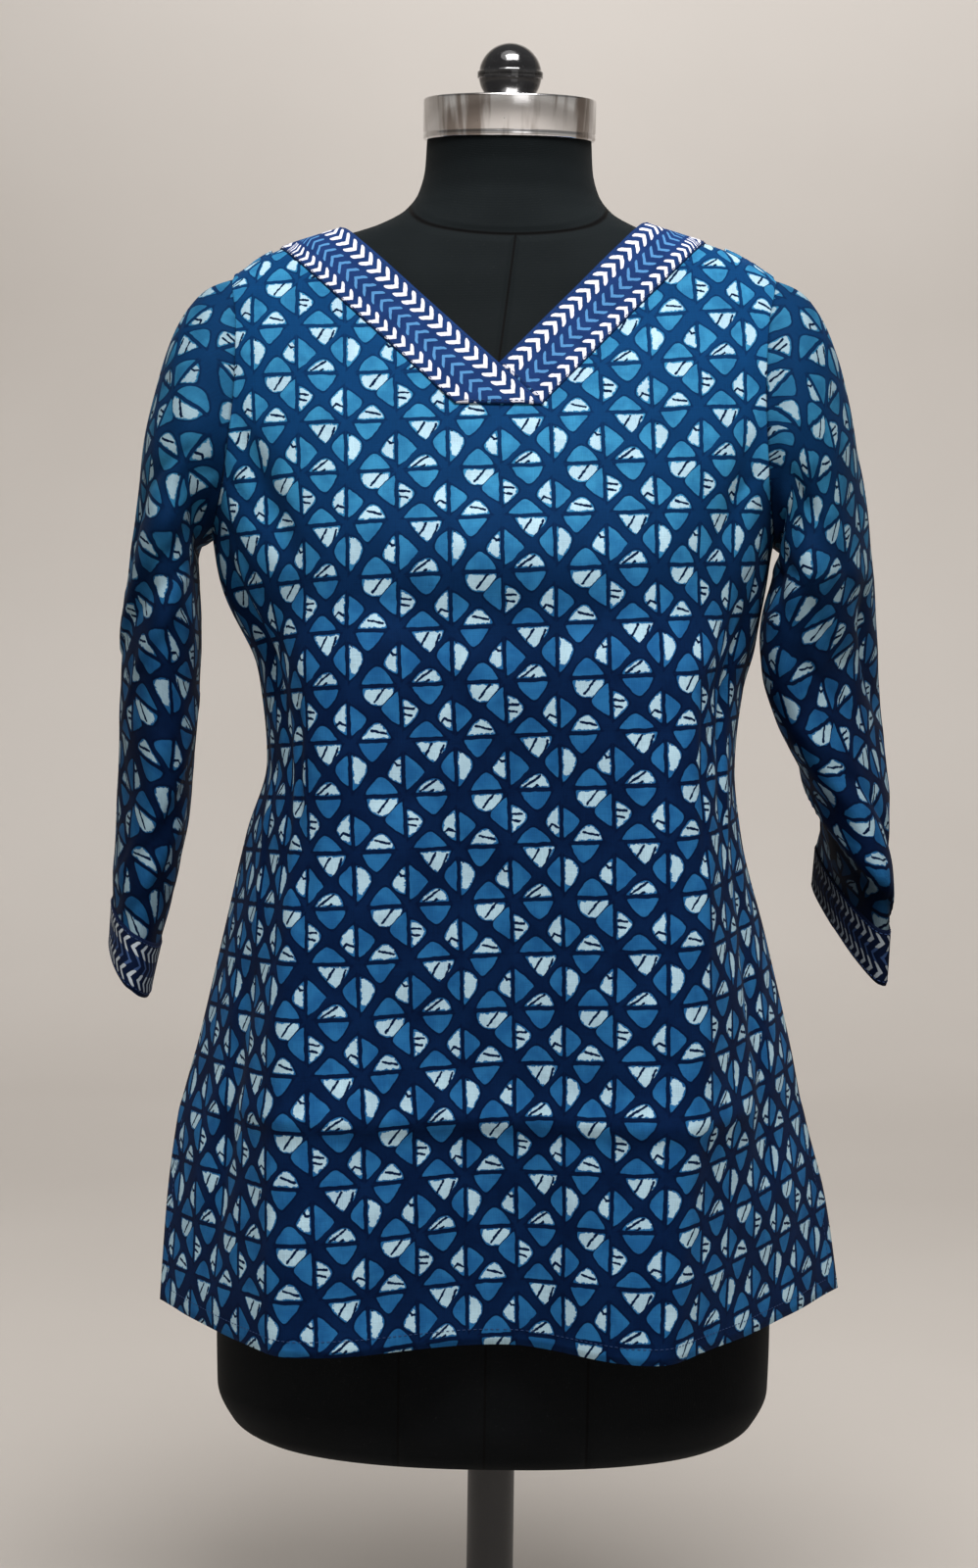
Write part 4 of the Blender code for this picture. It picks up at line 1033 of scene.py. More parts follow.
def sewn_panels():
    """The four halves, drawn together along the middle, the side seams, the shoulders and the armholes."""
    halves = {(panel, side): list(dressed_half(panel, side)) for panel in ("front", "back") for side in SIDES}
    for panel in ("front", "back"):
        left, right = halves[panel, "left"][0], halves[panel, "right"][0]
        joined = SKIRT_ROWS + V_ROW + 1 if panel == "front" else SKIRT_ROWS + CHEST_ROWS
        middle = (left[:joined, 0] + right[:joined, 0]) / 2
        fall = smoothstep(0, 1, 1 - np.arange(PANEL_COLUMNS) / MIDDLE_REACH)[None, :, None]
        for grid in (left, right):
            grid[:joined] += (middle - grid[:joined, 0])[:, None] * fall
    for side, sign in SIDES.items():
        front, back = halves["front", side][0], halves["back", side][0]
        skirt = slice(0, SKIRT_ROWS + 1)
        seam = (front[skirt, -1] + back[skirt, -1]) / 2 - np.array([sign, 0, 0]) * SEAM_DENT
        sewn = smoothstep(SLIT_TOP_Z - SLIT_SEWN_FROM, SLIT_TOP_Z + SLIT_SEWN_BY, seam[:, 2])[:, None]
        for key in ("front", "back"):
            grid = halves[key, side][0]
            grid[skirt] = pulled(grid[skirt], grid[skirt, -1] * (1 - sewn) + seam * sewn, SIDE_REACH, 1)
            top = grid[SKIRT_ROWS:]
            ridge = top[-1].copy()
            start = 0 if key == "front" else NECKLINE_COLUMNS
            ridge[start:, 1] = 0
            ridge[start:, 2] = ridge_height(side, np.abs(ridge[start:, 0])) + WALL - SEAM_DENT / 2
            grid[SKIRT_ROWS:] = pulled(top, ridge, SHOULDER_REACH, 0)
            edge = grid[SKIRT_ROWS:, -1]
            edge_target = edge - np.array([sign, 0, 0]) * ARMHOLE_DENT
            edge_target[0] = seam[-1]
            grid[SKIRT_ROWS:] = pulled(grid[SKIRT_ROWS:], edge_target, ARMHOLE_REACH, 1)
    return halves


def turned_out(points, faces, away):
    """The faces, all turned over if they look against the direction away."""
    corner = points[faces[:, 0]]
    normals = np.cross(points[faces[:, 1]] - corner, points[faces[:, 3]] - corner)
    return faces if (normals * away).sum() > 0 else faces[:, ::-1]


def mirrored_mesh(name, halves, joined, finishes):
    """One mesh out of a left and a right half that share their first column up to the row joined."""
    left, right = (halves[side] for side in SIDES)
    rows, columns = left[0].shape[:2]
    numbers_left = np.arange(rows * columns).reshape(rows, columns)
    numbers_right = numbers_left + rows * columns
    numbers_right[:joined, 0] = numbers_left[:joined, 0]
    faces = []
    for numbers, flip in ((numbers_left, False), (numbers_right, True)):
        ring = [numbers[:-1, :-1], numbers[:-1, 1:], numbers[1:, 1:], numbers[1:, :-1]]
        faces.append(np.stack(ring[::-1] if flip else ring, axis=-1).reshape(-1, 4))
    faces = np.concatenate(faces)
    used = np.unique(faces)
    renumber = np.full(2 * rows * columns, -1)
    renumber[used] = np.arange(len(used))
    points = np.concatenate([left[0].reshape(-1, 3), right[0].reshape(-1, 3)])[used]
    out = np.concatenate([left[1].reshape(-1), -right[1].reshape(-1)])[used]
    up = np.concatenate([left[2].reshape(-1), right[2].reshape(-1)])[used]
    faces = renumber[faces]
    away = np.sign(points[faces[:, 0]]) * np.array([0, 1, 0])
    return placed(name, points, turned_out(points, faces, away), finishes), out, up


def thickened(piece, thickness=CLOTH, rim=0):
    """Gives a sheet its thickness, inwards, with the reverse of its finish on the inner side."""
    shell = piece.modifiers.new("thickness", "SOLIDIFY")
    shell.thickness = thickness
    shell.offset = -1.0
    shell.use_even_offset = False
    shell.material_offset = len(piece.data.materials) - 1
    shell.material_offset_rim = rim
    graph = bpy.context.evaluated_depsgraph_get()
    solid = bpy.data.meshes.new_from_object(piece.evaluated_get(graph))
    piece.modifiers.clear()
    piece.data = solid
    solid.shade_smooth()


# The print's block, charted: a lattice of crossed squares, two across and two down, each cut into
# four triangles. s runs along a triangle's foot and h in towards the middle of its square, in squares. Each
# row holds start and end of the foot, and the tip; a crack from one point to another and a second crack;
# how far the blue shows past the white at one end, from its edge inwards; 1 for white; and how far the
# edges swell. Blue has no cracks. PRINT_OUT and PRINT_UP place the block, and PRINT_LEAN and PRINT_SLOPE
# turn it off the grain.
CELL_WIDTH = 0.0304
CELL_HEIGHT = 0.0318
PRINT_OUT = 0.0022
PRINT_UP = 0.7594
PRINT_LEAN = 0.0185
PRINT_SLOPE = 0.054
BLUE = (0.0, 0.0, 0.0, 0.0)
BLOCK = [
    # square 1: white above and below
    (0.25, 0.86, 0.60, 0.45, (0.56, 0.08, 0.42, 0.30), (0.78, 0.11, 0.68, 0.36), (0.10, 0.22), 1, 0.03),
    (0.22, 0.79, 0.60, 0.30, (0.30, 0.05, 0.61, 0.25), (0.46, 0.02, 0.55, 0.08), (0.08, 0.26), 1, 0.035),
    (0.27, 0.895, 0.61, 0.425, BLUE, BLUE, (0.0, 0.0), 0, 0.015),
    (0.24, 0.79, 0.50, 0.30, BLUE, BLUE, (0.0, 0.0), 0, 0.02),
    # square 2: white at the sides
    (0.18, 0.715, 0.41, 0.385, BLUE, BLUE, (0.0, 0.0), 0, 0.02),
    (0.28, 0.87, 0.57, 0.366, BLUE, BLUE, (0.0, 0.0), 0, 0.03),
    (0.24, 0.88, 0.47, 0.335, (0.20, 0.05, 0.26, 0.09), BLUE, (0.96, 0.72), 1, 0.035),
    (0.29, 0.79, 0.62, 0.315, (0.45, 0.00, 0.46, 0.12), (0.45, 0.12, 0.36, 0.20), (0.20, 0.34), 1, 0.02),
    # square 3: white at the sides
    (0.23, 0.81, 0.55, 0.385, BLUE, BLUE, (0.0, 0.0), 0, 0.03),
    (0.14, 0.78, 0.45, 0.335, BLUE, BLUE, (0.0, 0.0), 0, 0.02),
    (0.26, 0.77, 0.48, 0.355, (0.42, 0.00, 0.44, 0.24), (0.53, 0.04, 0.56, 0.20), (0.90, 0.74), 1, 0.025),
    (0.30, 0.87, 0.60, 0.325, (0.70, 0.05, 0.64, 0.18), (0.64, 0.18, 0.72, 0.26), (0.94, 0.78), 1, 0.025),
    # square 4: an oval above, white below
    (0.29, 0.88, 0.58, 0.375, (0.72, 0.03, 0.50, 0.29), BLUE, (0.20, 0.37), 1, 0.09),
    (0.23, 0.78, 0.54, 0.35, (0.42, 0.20, 0.70, 0.13), BLUE, (0.94, 0.76), 1, 0.035),
    (0.35, 0.89, 0.60, 0.36, BLUE, BLUE, (0.0, 0.0), 0, 0.015),
    (0.12, 0.71, 0.43, 0.385, BLUE, BLUE, (0.0, 0.0), 0, 0.02),
]
FOOT_H = 0.045
PRINT_WOBBLE = 0.0016
THREADS_PER_METRE = 2600.0
THREAD_LENGTH = 90.0


def chart(cloth, which, rows):
    """The four numbers of a row of the block, read by the triangle's number."""
    stops = [(k / len(rows), row) for k, row in enumerate(rows)]
    ramp = cloth.node("ShaderNodeValToRGB", {"stops": stops}, {"Fac": which})
    split = cloth.node("ShaderNodeSeparateColor", sockets={0: ramp})
    outputs = (*split.socket.node.outputs, ramp.socket.node.outputs["Alpha"])
    return [Signal(cloth, socket) for socket in outputs]


def edge_distance(s, h, s_from, h_from, s_to, h_to, swell):
    """How far a point lies inside the edge from one point to another, which swells outwards in the middle."""
    along_s, along_h = s_to - s_from, h_to - h_from
    off_s, off_h = s - s_from, h - h_from
    squared = along_s * along_s + along_h * along_h
    share = ((off_s * along_s + off_h * along_h) / squared).most(0.0).least(1.0)
    return (off_s * along_h - off_h * along_s) / squared.root() + share * (1 - share) * swell * 4


def stroke_distance(s, h, ends):
    """How far a point lies from the stretch between two points."""
    s_from, h_from, s_to, h_to = ends
    along_s, along_h = s_to - s_from, h_to - h_from
    off_s, off_h = s - s_from, h - h_from
    share = (off_s * along_s + off_h * along_h) / (along_s * along_s + along_h * along_h + 0.0001)
    share = share.most(0.0).least(1.0)
    miss_s, miss_h = off_s - share * along_s, off_h - share * along_h
    return (miss_s * miss_s + miss_h * miss_h).root()


def weave(out, up, fuzz):
    """Plain weave, a thread over and a thread under, with thick and thin threads."""
    warp = (out * 5600.0).sine()
    weft = (up * 5600.0).sine()
    return warp * weft * 0.25 + fuzz * 0.5


def toned(cloth, colour, tone):
    """A colour made lighter or darker."""
    shade = cloth.node("ShaderNodeCombineColor", {}, {0: tone, 1: tone, 2: tone})
    return cloth.node("ShaderNodeVectorMath", {"operation": "MULTIPLY"}, {0: colour, 1: shade})


def fringe(s, h, bare_s, bare_end):
    """0 where a white triangle's blue shows past one of its ends and 1 elsewhere."""
    past_end, past_start = bare_end.above(bare_s), bare_s.above(bare_end)
    low, high = bare_s.least(bare_end), bare_s.most(bare_end)
    at_start = (s - high + h * 0.35).rise(-0.01, 0.02) * past_end
    at_end = (low - s + h * 0.35).rise(-0.01, 0.02) * past_start
    return (at_start + at_end + (1 - past_end - past_start)).least(1.0)


def block_print(name, faded, painted_shade_tone=1.0):
    """The printed cotton. faded is 0 on the right side and 1 on the reverse, where the dyes only come
    through, and the third argument is below 1 for a piece darkened all over by painted shade. The cloth's
    third number adds painted shade, and navy and blue are painted lighter higher up as painted light."""
    cloth = Finish(name, {"Specular IOR Level": 0.03, "Sheen Weight": 0.01, "Sheen Roughness": 0.4})
    place = cloth.noted("cloth")
    out, up, painted_crook_shade = cloth.parts(place)
    wobble = cloth.noise(place, 170.0, 2.0)
    jagged = cloth.noise(place, 900.0, 3.0, 0.6)
    threads = cloth.noise(cloth.joined(out * THREADS_PER_METRE, up * THREAD_LENGTH), 1.0, 2.0)
    slubs = cloth.noise(cloth.joined(out * THREAD_LENGTH, up * THREADS_PER_METRE), 1.0, 2.0)
    fuzz = cloth.noise(place, 2600.0, 1.0)
    washed = cloth.noise(place, 38.0, 4.0, 0.6)
    wobble_down = cloth.noise(place, 140.0, 2.0)
    x = (out - PRINT_OUT + (up - PRINT_UP) * PRINT_LEAN + (wobble - 0.5) * PRINT_WOBBLE) / CELL_WIDTH
    y = (PRINT_UP - up + out * PRINT_SLOPE + (wobble_down - 0.5) * PRINT_WOBBLE) / CELL_HEIGHT
    column, row = x.whole(), y.whole()
    across, down = x - column, y - row
    off_x, off_y = abs(across - 0.5), abs(down - 0.5)
    at_side = off_x.above(off_y)
    s = across + at_side * (down - across)
    h = 0.5 - off_x.most(off_y)
    second_half = across.above(0.5) * at_side + down.above(0.5) * (1 - at_side)
    square = column.maths("FLOORED_MODULO", column, 2.0) + 2.0 * row.maths("FLOORED_MODULO", row, 2.0)
    which = (square * 4.0 + at_side * 2.0 + second_half + 0.5) / len(BLOCK)
    start, end, tip_s, tip_h = chart(cloth, which, [row[:4] for row in BLOCK])
    bare_s, bare_end, white, swell = chart(cloth, which, [(*row[6], float(row[7]), row[8]) for row in BLOCK])
    left = edge_distance(s, h, start, FOOT_H, tip_s, tip_h, swell)
    right = edge_distance(1 - s, h, 1 - end, FOOT_H, 1 - tip_s, tip_h, swell)
    rounded = left.maths("SMOOTH_MIN", left, right, 0.14)
    shape = rounded.maths("SMOOTH_MIN", rounded, h - FOOT_H, 0.06)
    triangle = shape.rise(-0.014, 0.002)
    outline = shape.rise(-0.056, -0.028) * (1 - triangle)
    crack = stroke_distance(s, h, chart(cloth, which, [row[4] for row in BLOCK]))
    second = stroke_distance(s, h, chart(cloth, which, [row[5] for row in BLOCK]))
    ragged = (jagged - 0.5) * 0.05 + (cloth.noise(place, 380.0, 1.0) - 0.5) * 0.07
    cracked = (crack.least(second) + ragged * 0.5).rise(0.014, 0.030)
    bleached = (shape + ragged).rise(0.010, 0.024) * cracked * white
    tone = 0.86 + washed * 0.22 + (threads + slubs - 1.0) * 0.44
    # Painted light: navy, blue and the outlines are lighter higher up, over the chest, as if lit from above.
    _, _, height = cloth.parts(cloth.coordinates())
    navy = cloth.mix(washed.rise(0.3, 0.7), (0.0012, 0.0085, 0.0390), (0.0020, 0.0130, 0.0540))
    navy = cloth.mix(height.rise(0.70, 0.97), navy, (0.0032, 0.0400, 0.1300))
    patchy = cloth.noise(place, 75.0, 3.0).rise(0.35, 0.65)
    blue_painted_lit = cloth.mix(patchy, (0.0200, 0.1460, 0.3050), (0.0310, 0.2020, 0.3850))
    blue = cloth.mix(patchy, (0.0107, 0.0875, 0.2420), (0.0170, 0.1225, 0.3040))
    blue = cloth.mix(height.rise(0.74, 0.86), blue, blue_painted_lit)
    white_dye = cloth.mix(washed.rise(0.3, 0.7), (0.335, 0.495, 0.600), (0.390, 0.570, 0.670))
    edge = cloth.mix(height.rise(0.70, 0.97), (0.0008, 0.0050, 0.0260), (0.0020, 0.0180, 0.0700))
    colour = cloth.mix(outline * 0.7, navy, edge)
    colour = cloth.mix(triangle, colour, blue)
    colour = cloth.mix(bleached * fringe(s, h, bare_s, bare_end), colour, white_dye)
    colour = cloth.mix((1 - cracked) * triangle * white, colour, (0.0010, 0.0070, 0.0340))
    # Painted shade: the sleeves' colour is darkened all over, and further below the left sleeve's elbow fold.
    colour = toned(cloth, colour, tone * painted_shade_tone * (1 - painted_crook_shade * 0.70))
    cloth.paint(
        Base_Color=cloth.mix(faded * 0.55, colour, (0.105, 0.170, 0.290)),
        Roughness=0.70 + fuzz * 0.16,
        Normal=cloth.relief(weave(out, up, fuzz) + threads * 0.3, 0.00012, 0.5),
    )
    return cloth.material


printed = [block_print("printed_cotton", 0.0), block_print("printed_cotton_reverse", 1.0)]
halves = sewn_panels()
PANEL_CUTS = {
    "front": {"flat": (0.60, 0.71), "area": 0.323, "joined": SKIRT_ROWS + V_ROW + 1},
    "back": {"flat": (0.60, 0.70), "area": 0.305, "joined": SKIRT_ROWS + CHEST_ROWS},
}
for panel, cut in PANEL_CUTS.items():
    sides = {side: halves[panel, side] for side in SIDES}
    piece, out, up = mirrored_mesh("top_" + panel, sides, cut["joined"], printed)
    note(piece.data, "cloth", np.stack([out if panel == "front" else -out, up, 0 * up], axis=-1))
    thickened(piece)
    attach(piece, "root")
    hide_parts(panel + "_panel")


# The sleeves. Each is one piece of the same cotton, sewn into its armhole and closed by a seam under the arm.
# With no arms inside, they hang flat and fold where they leave the shoulder.
CUFF_DEPTH = 0.031
CUFF_ROWS = 2 * FINE
SLEEVE_ROWS = 17 * FINE
CROWN_ROWS = 7 * FINE
SLEEVE_FLATNESS = 1.7
SLEEVE_EDGE_ROUNDNESS = 2.2
CROWN_OUT = {"left": 0.043, "right": 0.048}
UNDERARM_OUT = 0.020
CROWN_SPREAD = 0.22
CROWN_LEAN = 0.010
CROWN_HANG = 0.085
UNDERARM_HANG = 0.012
CROWN_SLOPE = -0.3
SLEEVE_PRINT_UP = 0.3
SLEEVE_UNEVEN = 0.0005
SLEEVE_SEED = {"left": 11, "right": 13}
SLEEVE_COLUMNS = ("height", "x", "y", "half_width", "half_thickness", "turn", "front_drop", "side_rise")
SLEEVE = {
    "left": Table(
        SLEEVE_COLUMNS,
        [
            (0.570, 0.2208, -0.002, 0.056, 0.0078, 13.0, 0.025, -0.004),
            (0.601, 0.2230, -0.001, 0.057, 0.0100, 11.5, 0.022, -0.003),
            (0.624, 0.2247, 0.000, 0.059, 0.0155, 6.0, 0.013, 0.000),
            (0.652, 0.2235, 0.001, 0.061, 0.0208, -6.0, 0.006, 0.000),
            (0.676, 0.2165, 0.002, 0.064, 0.0242, -16.0, 0.002, 0.000),
            (0.700, 0.2093, 0.003, 0.067, 0.0268, -23.0, 0.000, 0.000),
            (0.733, 0.2030, 0.003, 0.070, 0.0285, -27.0, 0.000, 0.000),
            (0.765, 0.2007, 0.003, 0.073, 0.0305, -22.0, 0.000, 0.000),
            (0.795, 0.2035, 0.003, 0.076, 0.0290, -15.0, 0.000, 0.000),
        ],
    ),
    "right": Table(
        SLEEVE_COLUMNS,
        [
            (0.544, 0.2325, -0.002, 0.056, 0.0110, -8.0, 0.007, 0.014),
            (0.574, 0.2287, -0.001, 0.057, 0.0135, -8.0, 0.005, 0.012),
            (0.594, 0.2257, 0.000, 0.059, 0.0168, -8.0, 0.004, 0.008),
            (0.615, 0.2224, 0.001, 0.061, 0.0196, -8.0, 0.001, 0.003),
            (0.640, 0.2200, 0.001, 0.063, 0.0212, -8.0, 0.000, 0.000),
            (0.675, 0.2182, 0.002, 0.066, 0.0221, -8.0, 0.000, 0.000),
            (0.711, 0.2168, 0.003, 0.069, 0.0232, -8.0, 0.000, 0.000),
            (0.760, 0.2158, 0.003, 0.073, 0.0228, -8.0, 0.000, 0.000),
            (0.795, 0.2151, 0.003, 0.076, 0.0203, -6.0, 0.000, 0.000),
        ],
    ),
}
# Folds round the hanging sleeves: height and place round the sleeve (0 inner, 90 front, 180 outer) at both
# ends of the fold, half width in degrees, and depth.
SLEEVE_FOLDS = {
    "left": [
        (0.800, 150.0, 0.700, 205.0, 16.0, -0.0060),
        (0.860, 100.0, 0.770, 60.0, 15.0, -0.0060),
        (0.690, 100.0, 0.605, 146.0, 16.0, -0.0040),
        (0.720, 300.0, 0.620, 260.0, 18.0, -0.0050),
        (0.860, 70.0, 0.800, 120.0, 7.0, -0.0026),
        (0.830, 80.0, 0.770, 150.0, 7.0, -0.0024),
        (0.800, 60.0, 0.730, 130.0, 8.0, -0.0026),
        (0.760, 80.0, 0.700, 150.0, 8.0, -0.0022),
        (0.715, 70.0, 0.660, 130.0, 9.0, 0.0018),
        (0.680, 90.0, 0.620, 150.0, 9.0, -0.0020),
        (0.790, 230.0, 0.690, 300.0, 9.0, -0.0022),
        (0.660, 250.0, 0.590, 200.0, 9.0, -0.0020),
        (0.900, 95.0, 0.830, 20.0, 8.0, -0.0040),
        (0.905, 112.0, 0.840, 42.0, 11.0, 0.0022),
    ],
    "right": [
        (0.860, 110.0, 0.780, 165.0, 16.0, -0.0070),
        (0.820, 80.0, 0.740, 120.0, 14.0, -0.0050),
        (0.700, 140.0, 0.600, 110.0, 18.0, -0.0040),
        (0.740, 300.0, 0.630, 255.0, 18.0, -0.0050),
        (0.870, 80.0, 0.820, 140.0, 7.0, -0.0026),
        (0.840, 60.0, 0.780, 120.0, 7.0, -0.0026),
        (0.800, 60.0, 0.750, 140.0, 8.0, -0.0024),
        (0.770, 90.0, 0.700, 150.0, 8.0, -0.0022),
        (0.720, 60.0, 0.660, 100.0, 9.0, 0.0018),
        (0.660, 80.0, 0.590, 140.0, 9.0, -0.0020),
        (0.780, 230.0, 0.700, 300.0, 9.0, -0.0022),
        (0.650, 240.0, 0.580, 200.0, 9.0, -0.0020),
        (0.935, 118.0, 0.830, 30.0, 9.0, -0.0050),
        (0.930, 138.0, 0.840, 58.0, 12.0, 0.0030),
    ],
}
# Where a sleeve folds over itself at the elbow: as above, but with a soft and a steep half width.
OVERHANGS = {
    "left": [
        (0.680, -25.0, 0.575, 140.0, 30.0, 5.0, 0.0066),
        (0.850, 35.0, 0.745, 140.0, 24.0, 6.0, 0.0045),
        (0.820, 50.0, 0.735, 120.0, 14.0, 5.0, 0.0030),
    ],
    "right": [
        (0.850, 45.0, 0.740, 165.0, 26.0, 6.0, 0.0055),
        (0.825, 35.0, 0.700, 140.0, 18.0, 6.0, 0.0040),
        (0.720, 20.0, 0.590, 130.0, 28.0, 6.0, 0.0045),
        (0.660, 30.0, 0.570, 120.0, 20.0, 6.0, 0.0030),
    ],
}


def overhang_depth(overhangs, height, place):
    """Height of folds that rise softly on one side and drop off on the other."""
    total = np.zeros(np.shape(height))
    for top_z, top_s, low_z, low_s, soft, steep, depth in overhangs:
        t = (top_z - height) / (top_z - low_z)
        inside = np.clip(t, 0, 1)
        off = place - (top_s + (low_s - top_s) * inside)
        spread = np.where(off > 0, soft, steep)
        total += depth * np.sin(math.pi * inside) ** 0.5 * np.exp(-((off / spread) ** 2))
    return total


def sleeve_section(side, z, count):
    """A level section of the hanging sleeve, from its inner side round the front edge and back."""
    table, sign = SLEEVE[side], SIDES[side]
    turn = math.radians(float(table.at("turn", z)))
    ahead = np.array([sign * math.sin(turn), -math.cos(turn)])
    outward = np.array([sign * math.cos(turn), math.sin(turn)])
    centre = np.array([sign * table.at("x", z), table.at("y", z)])
    half_width, half_thickness = table.at("half_width", z), table.at("half_thickness", z)
    angles = np.linspace(0, 2 * math.pi, 721)
    c, s = -np.cos(angles), np.sin(angles)
    out = np.sign(c) * np.abs(c) ** (2 / SLEEVE_FLATNESS) * half_thickness
    fore = np.sign(s) * np.abs(s) ** (2 / SLEEVE_EDGE_ROUNDNESS) * half_width
    place = centre + outward * out[:, None] + ahead * fore[:, None]
    drop = z - table.at("front_drop", z) * fore / half_width + table.at("side_rise", z) * out / half_thickness
    return resampled(np.concatenate([place, drop[:, None]], axis=1), count + 1)[:-1]


def sleeve_grid(side, start):
    """The inner side of a sleeve as rings of points, from the armhole over the crown and down to the hem."""
    table, sign, count = SLEEVE[side], SIDES[side], len(start)
    top_z, hem_z = table.keys[-1], table.keys[0]
    first = sleeve_section(side, top_z, count)
    high = smoothstep(start[:, 2].min(), start[:, 2].max(), start[:, 2])
    reach = UNDERARM_OUT + (CROWN_OUT[side] - UNDERARM_OUT) * high
    out = start + np.stack([sign * reach, start[:, 1] * CROWN_SPREAD, CROWN_SLOPE * reach], axis=1)
    hang = UNDERARM_HANG + (CROWN_HANG - UNDERARM_HANG) * high
    hang = first + np.stack([-sign * CROWN_LEAN * high, 0 * high, hang], axis=1)
    rings = [
        (1 - t) ** 3 * start + 3 * t * (1 - t) ** 2 * out + 3 * t * t * (1 - t) * hang + t**3 * first
        for t in np.linspace(0, 1, CROWN_ROWS + 1)
    ]
    arm_rows = SLEEVE_ROWS - CROWN_ROWS - CUFF_ROWS
    heights = np.concatenate([
        np.linspace(top_z, hem_z + CUFF_DEPTH, arm_rows + 1)[1:],
        np.linspace(hem_z + CUFF_DEPTH, hem_z, CUFF_ROWS + 1)[1:],
    ])
    return np.array(rings + [sleeve_section(side, z, count) for z in heights])


def armhole_ring(side, halves):
    """The sewn edge of both panels as an even ring, from the underarm up the front and down the back."""
    count = CHEST_ROWS - 1
    front = resampled(halves["front", side][0][SKIRT_ROWS:, -1], count + 1)
    back = resampled(halves["back", side][0][SKIRT_ROWS:, -1], count + 1)
    return np.concatenate([front, back[-2:0:-1]])


# Painted shade where the cloth turns under below the elbow: the print is darkened beneath the line. Height
# and place at both ends of the line, which on the right sleeve runs past the cloth and leaves it as it is.
CROOK = {"left": (0.680, -25.0, 0.571, 150.0), "right": (0.680, -90.0, 0.571, -90.0)}
CROOK_TOP_Z = 0.682
CROOK_FULL_Z = 0.668


def dressed_sleeve(side, halves):
    """The outer surface of a sleeve with its folds, the places of its points on the flat cloth, and the
    painted shade below its elbow fold.
    """
    ring = armhole_ring(side, halves)
    grid = sleeve_grid(side, ring)
    count = len(ring)
    angle = np.broadcast_to(np.linspace(0, 360, count, endpoint=False), grid.shape[:2])
    outward = unit((grid - grid.mean(axis=1, keepdims=True)) * np.array([1, 1, 0]))
    folds = fold_depth(SLEEVE_FOLDS[side], grid[..., 2], angle)
    folds = folds + overhang_depth(OVERHANGS[side], grid[..., 2], angle)
    grid = grid + outward * folds[..., None]
    normals = outward_normals(grid, True)
    steps = np.linalg.norm(np.roll(grid, -1, axis=1) - grid, axis=2)
    around = np.concatenate([np.zeros((len(grid), 1)), np.cumsum(steps, axis=1)[:, :-1]], axis=1)
    around = around - around[:, count // 2:count // 2 + 1]
    around[:CROWN_ROWS] = around[CROWN_ROWS]
    lengths = np.linalg.norm(np.diff(grid, axis=0), axis=2)
    down = np.concatenate([np.zeros((1, count)), np.cumsum(lengths, axis=0)])
    up = down[-1] - down + SLEEVE_PRINT_UP
    rows = np.arange(len(grid))[:, None]
    free = smoothstep(0, 10, rows) * (0.25 + 0.75 * smoothstep(0, 8, len(grid) - 1 - CUFF_ROWS - rows))
    lift = SLEEVE_UNEVEN * unevenness(around, up, SLEEVE_SEED[side]) * free
    surface = grid + normals * (WALL + lift)[..., None]
    fall = smoothstep(0, 1, 1 - np.arange(len(grid)) / SHOULDER_REACH)[:, None, None]
    surface = surface + fall * (ring - surface[0])[None]
    # Painted shade below the elbow's fold, 1 beneath the line and fading in below its top.
    top_z, top_s, low_z, low_s = CROOK[side]
    line = top_s + (low_s - top_s) * (top_z - grid[..., 2]) / (top_z - low_z)
    painted_crook_shade = smoothstep(5, -7, angle - line) * (1 - smoothstep(280, 340, angle))
    painted_crook_shade = painted_crook_shade * smoothstep(CROOK_TOP_Z, CROOK_FULL_Z, grid[..., 2])
    return surface, around, up, painted_crook_shade


def tube(name, grid, finishes):
    """A mesh out of rings of points that close on themselves."""
    faces = grid_faces(*grid.shape[:2], closed=True)
    points = grid.reshape(-1, 3)
    away = points[faces[:, 0]] - np.repeat(grid.mean(axis=1), grid.shape[1], axis=0)[faces[:, 0]]
    return placed(name, points, turned_out(points, faces, away), finishes)


# Painted shade: the sleeves' print is darkened all over, as they hang in shade.
SLEEVE_PAINTED_SHADE = 0.62
shaded_sleeve_prints = [block_print("shaded_sleeve_cotton", 0.0, SLEEVE_PAINTED_SHADE)]
shaded_sleeve_prints += [block_print("sleeve_cotton_reverse", 1.0, SLEEVE_PAINTED_SHADE)]
SLEEVE_CUTS = {
    "left": {"flat": (0.36, 0.42), "area": 0.114},
    "right": {"flat": (0.36, 0.44), "area": 0.117},
}
sleeves = {}
for side, cut in SLEEVE_CUTS.items():
    surface, around, up, painted_crook_shade = dressed_sleeve(side, halves)
    piece = tube("sleeve_of_top_" + side, surface, shaded_sleeve_prints)
    # The cloth's third number carries the painted shade below the elbow's fold.
    note(piece.data, "cloth", np.stack([around, up, painted_crook_shade], axis=-1))
    thickened(piece)
    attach(piece, "root")
    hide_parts("sleeve_" + side)
    sleeves[side] = (piece, surface)


# The neck bands. Strips of a border print with three rows of arrowheads, turned in at their edges and
# topstitched onto the front. The wearer's right band lies over the left one below the V, and both end in
# one flat edge. BAND_LIFT and EDGE_ROLL are how far a strip lies off the cloth under it and swells past its
# edges.
BAND_LIFT = 0.0004
EDGE_ROLL = 0.0007
STRIP_CLOTH = 0.0003
BAND_LONG_ROWS = 110
BAND_CROSS = 24
BAND_CROWDED = 1.8
BAND_OVERLAP = 0.0007
BAND_OVERLAP_ENDS = (0.030, 0.004)
BAND_UNEVEN = 0.0001
BAND_SEED = {"left": 31, "right": 37}
ARROW_SOFTNESS = 0.00018
HALO = 0.0004
BORDER_WOBBLE = 0.0011
DEEP_BLUE = ((0.0075, 0.0260, 0.1020), (0.0110, 0.0350, 0.1300))


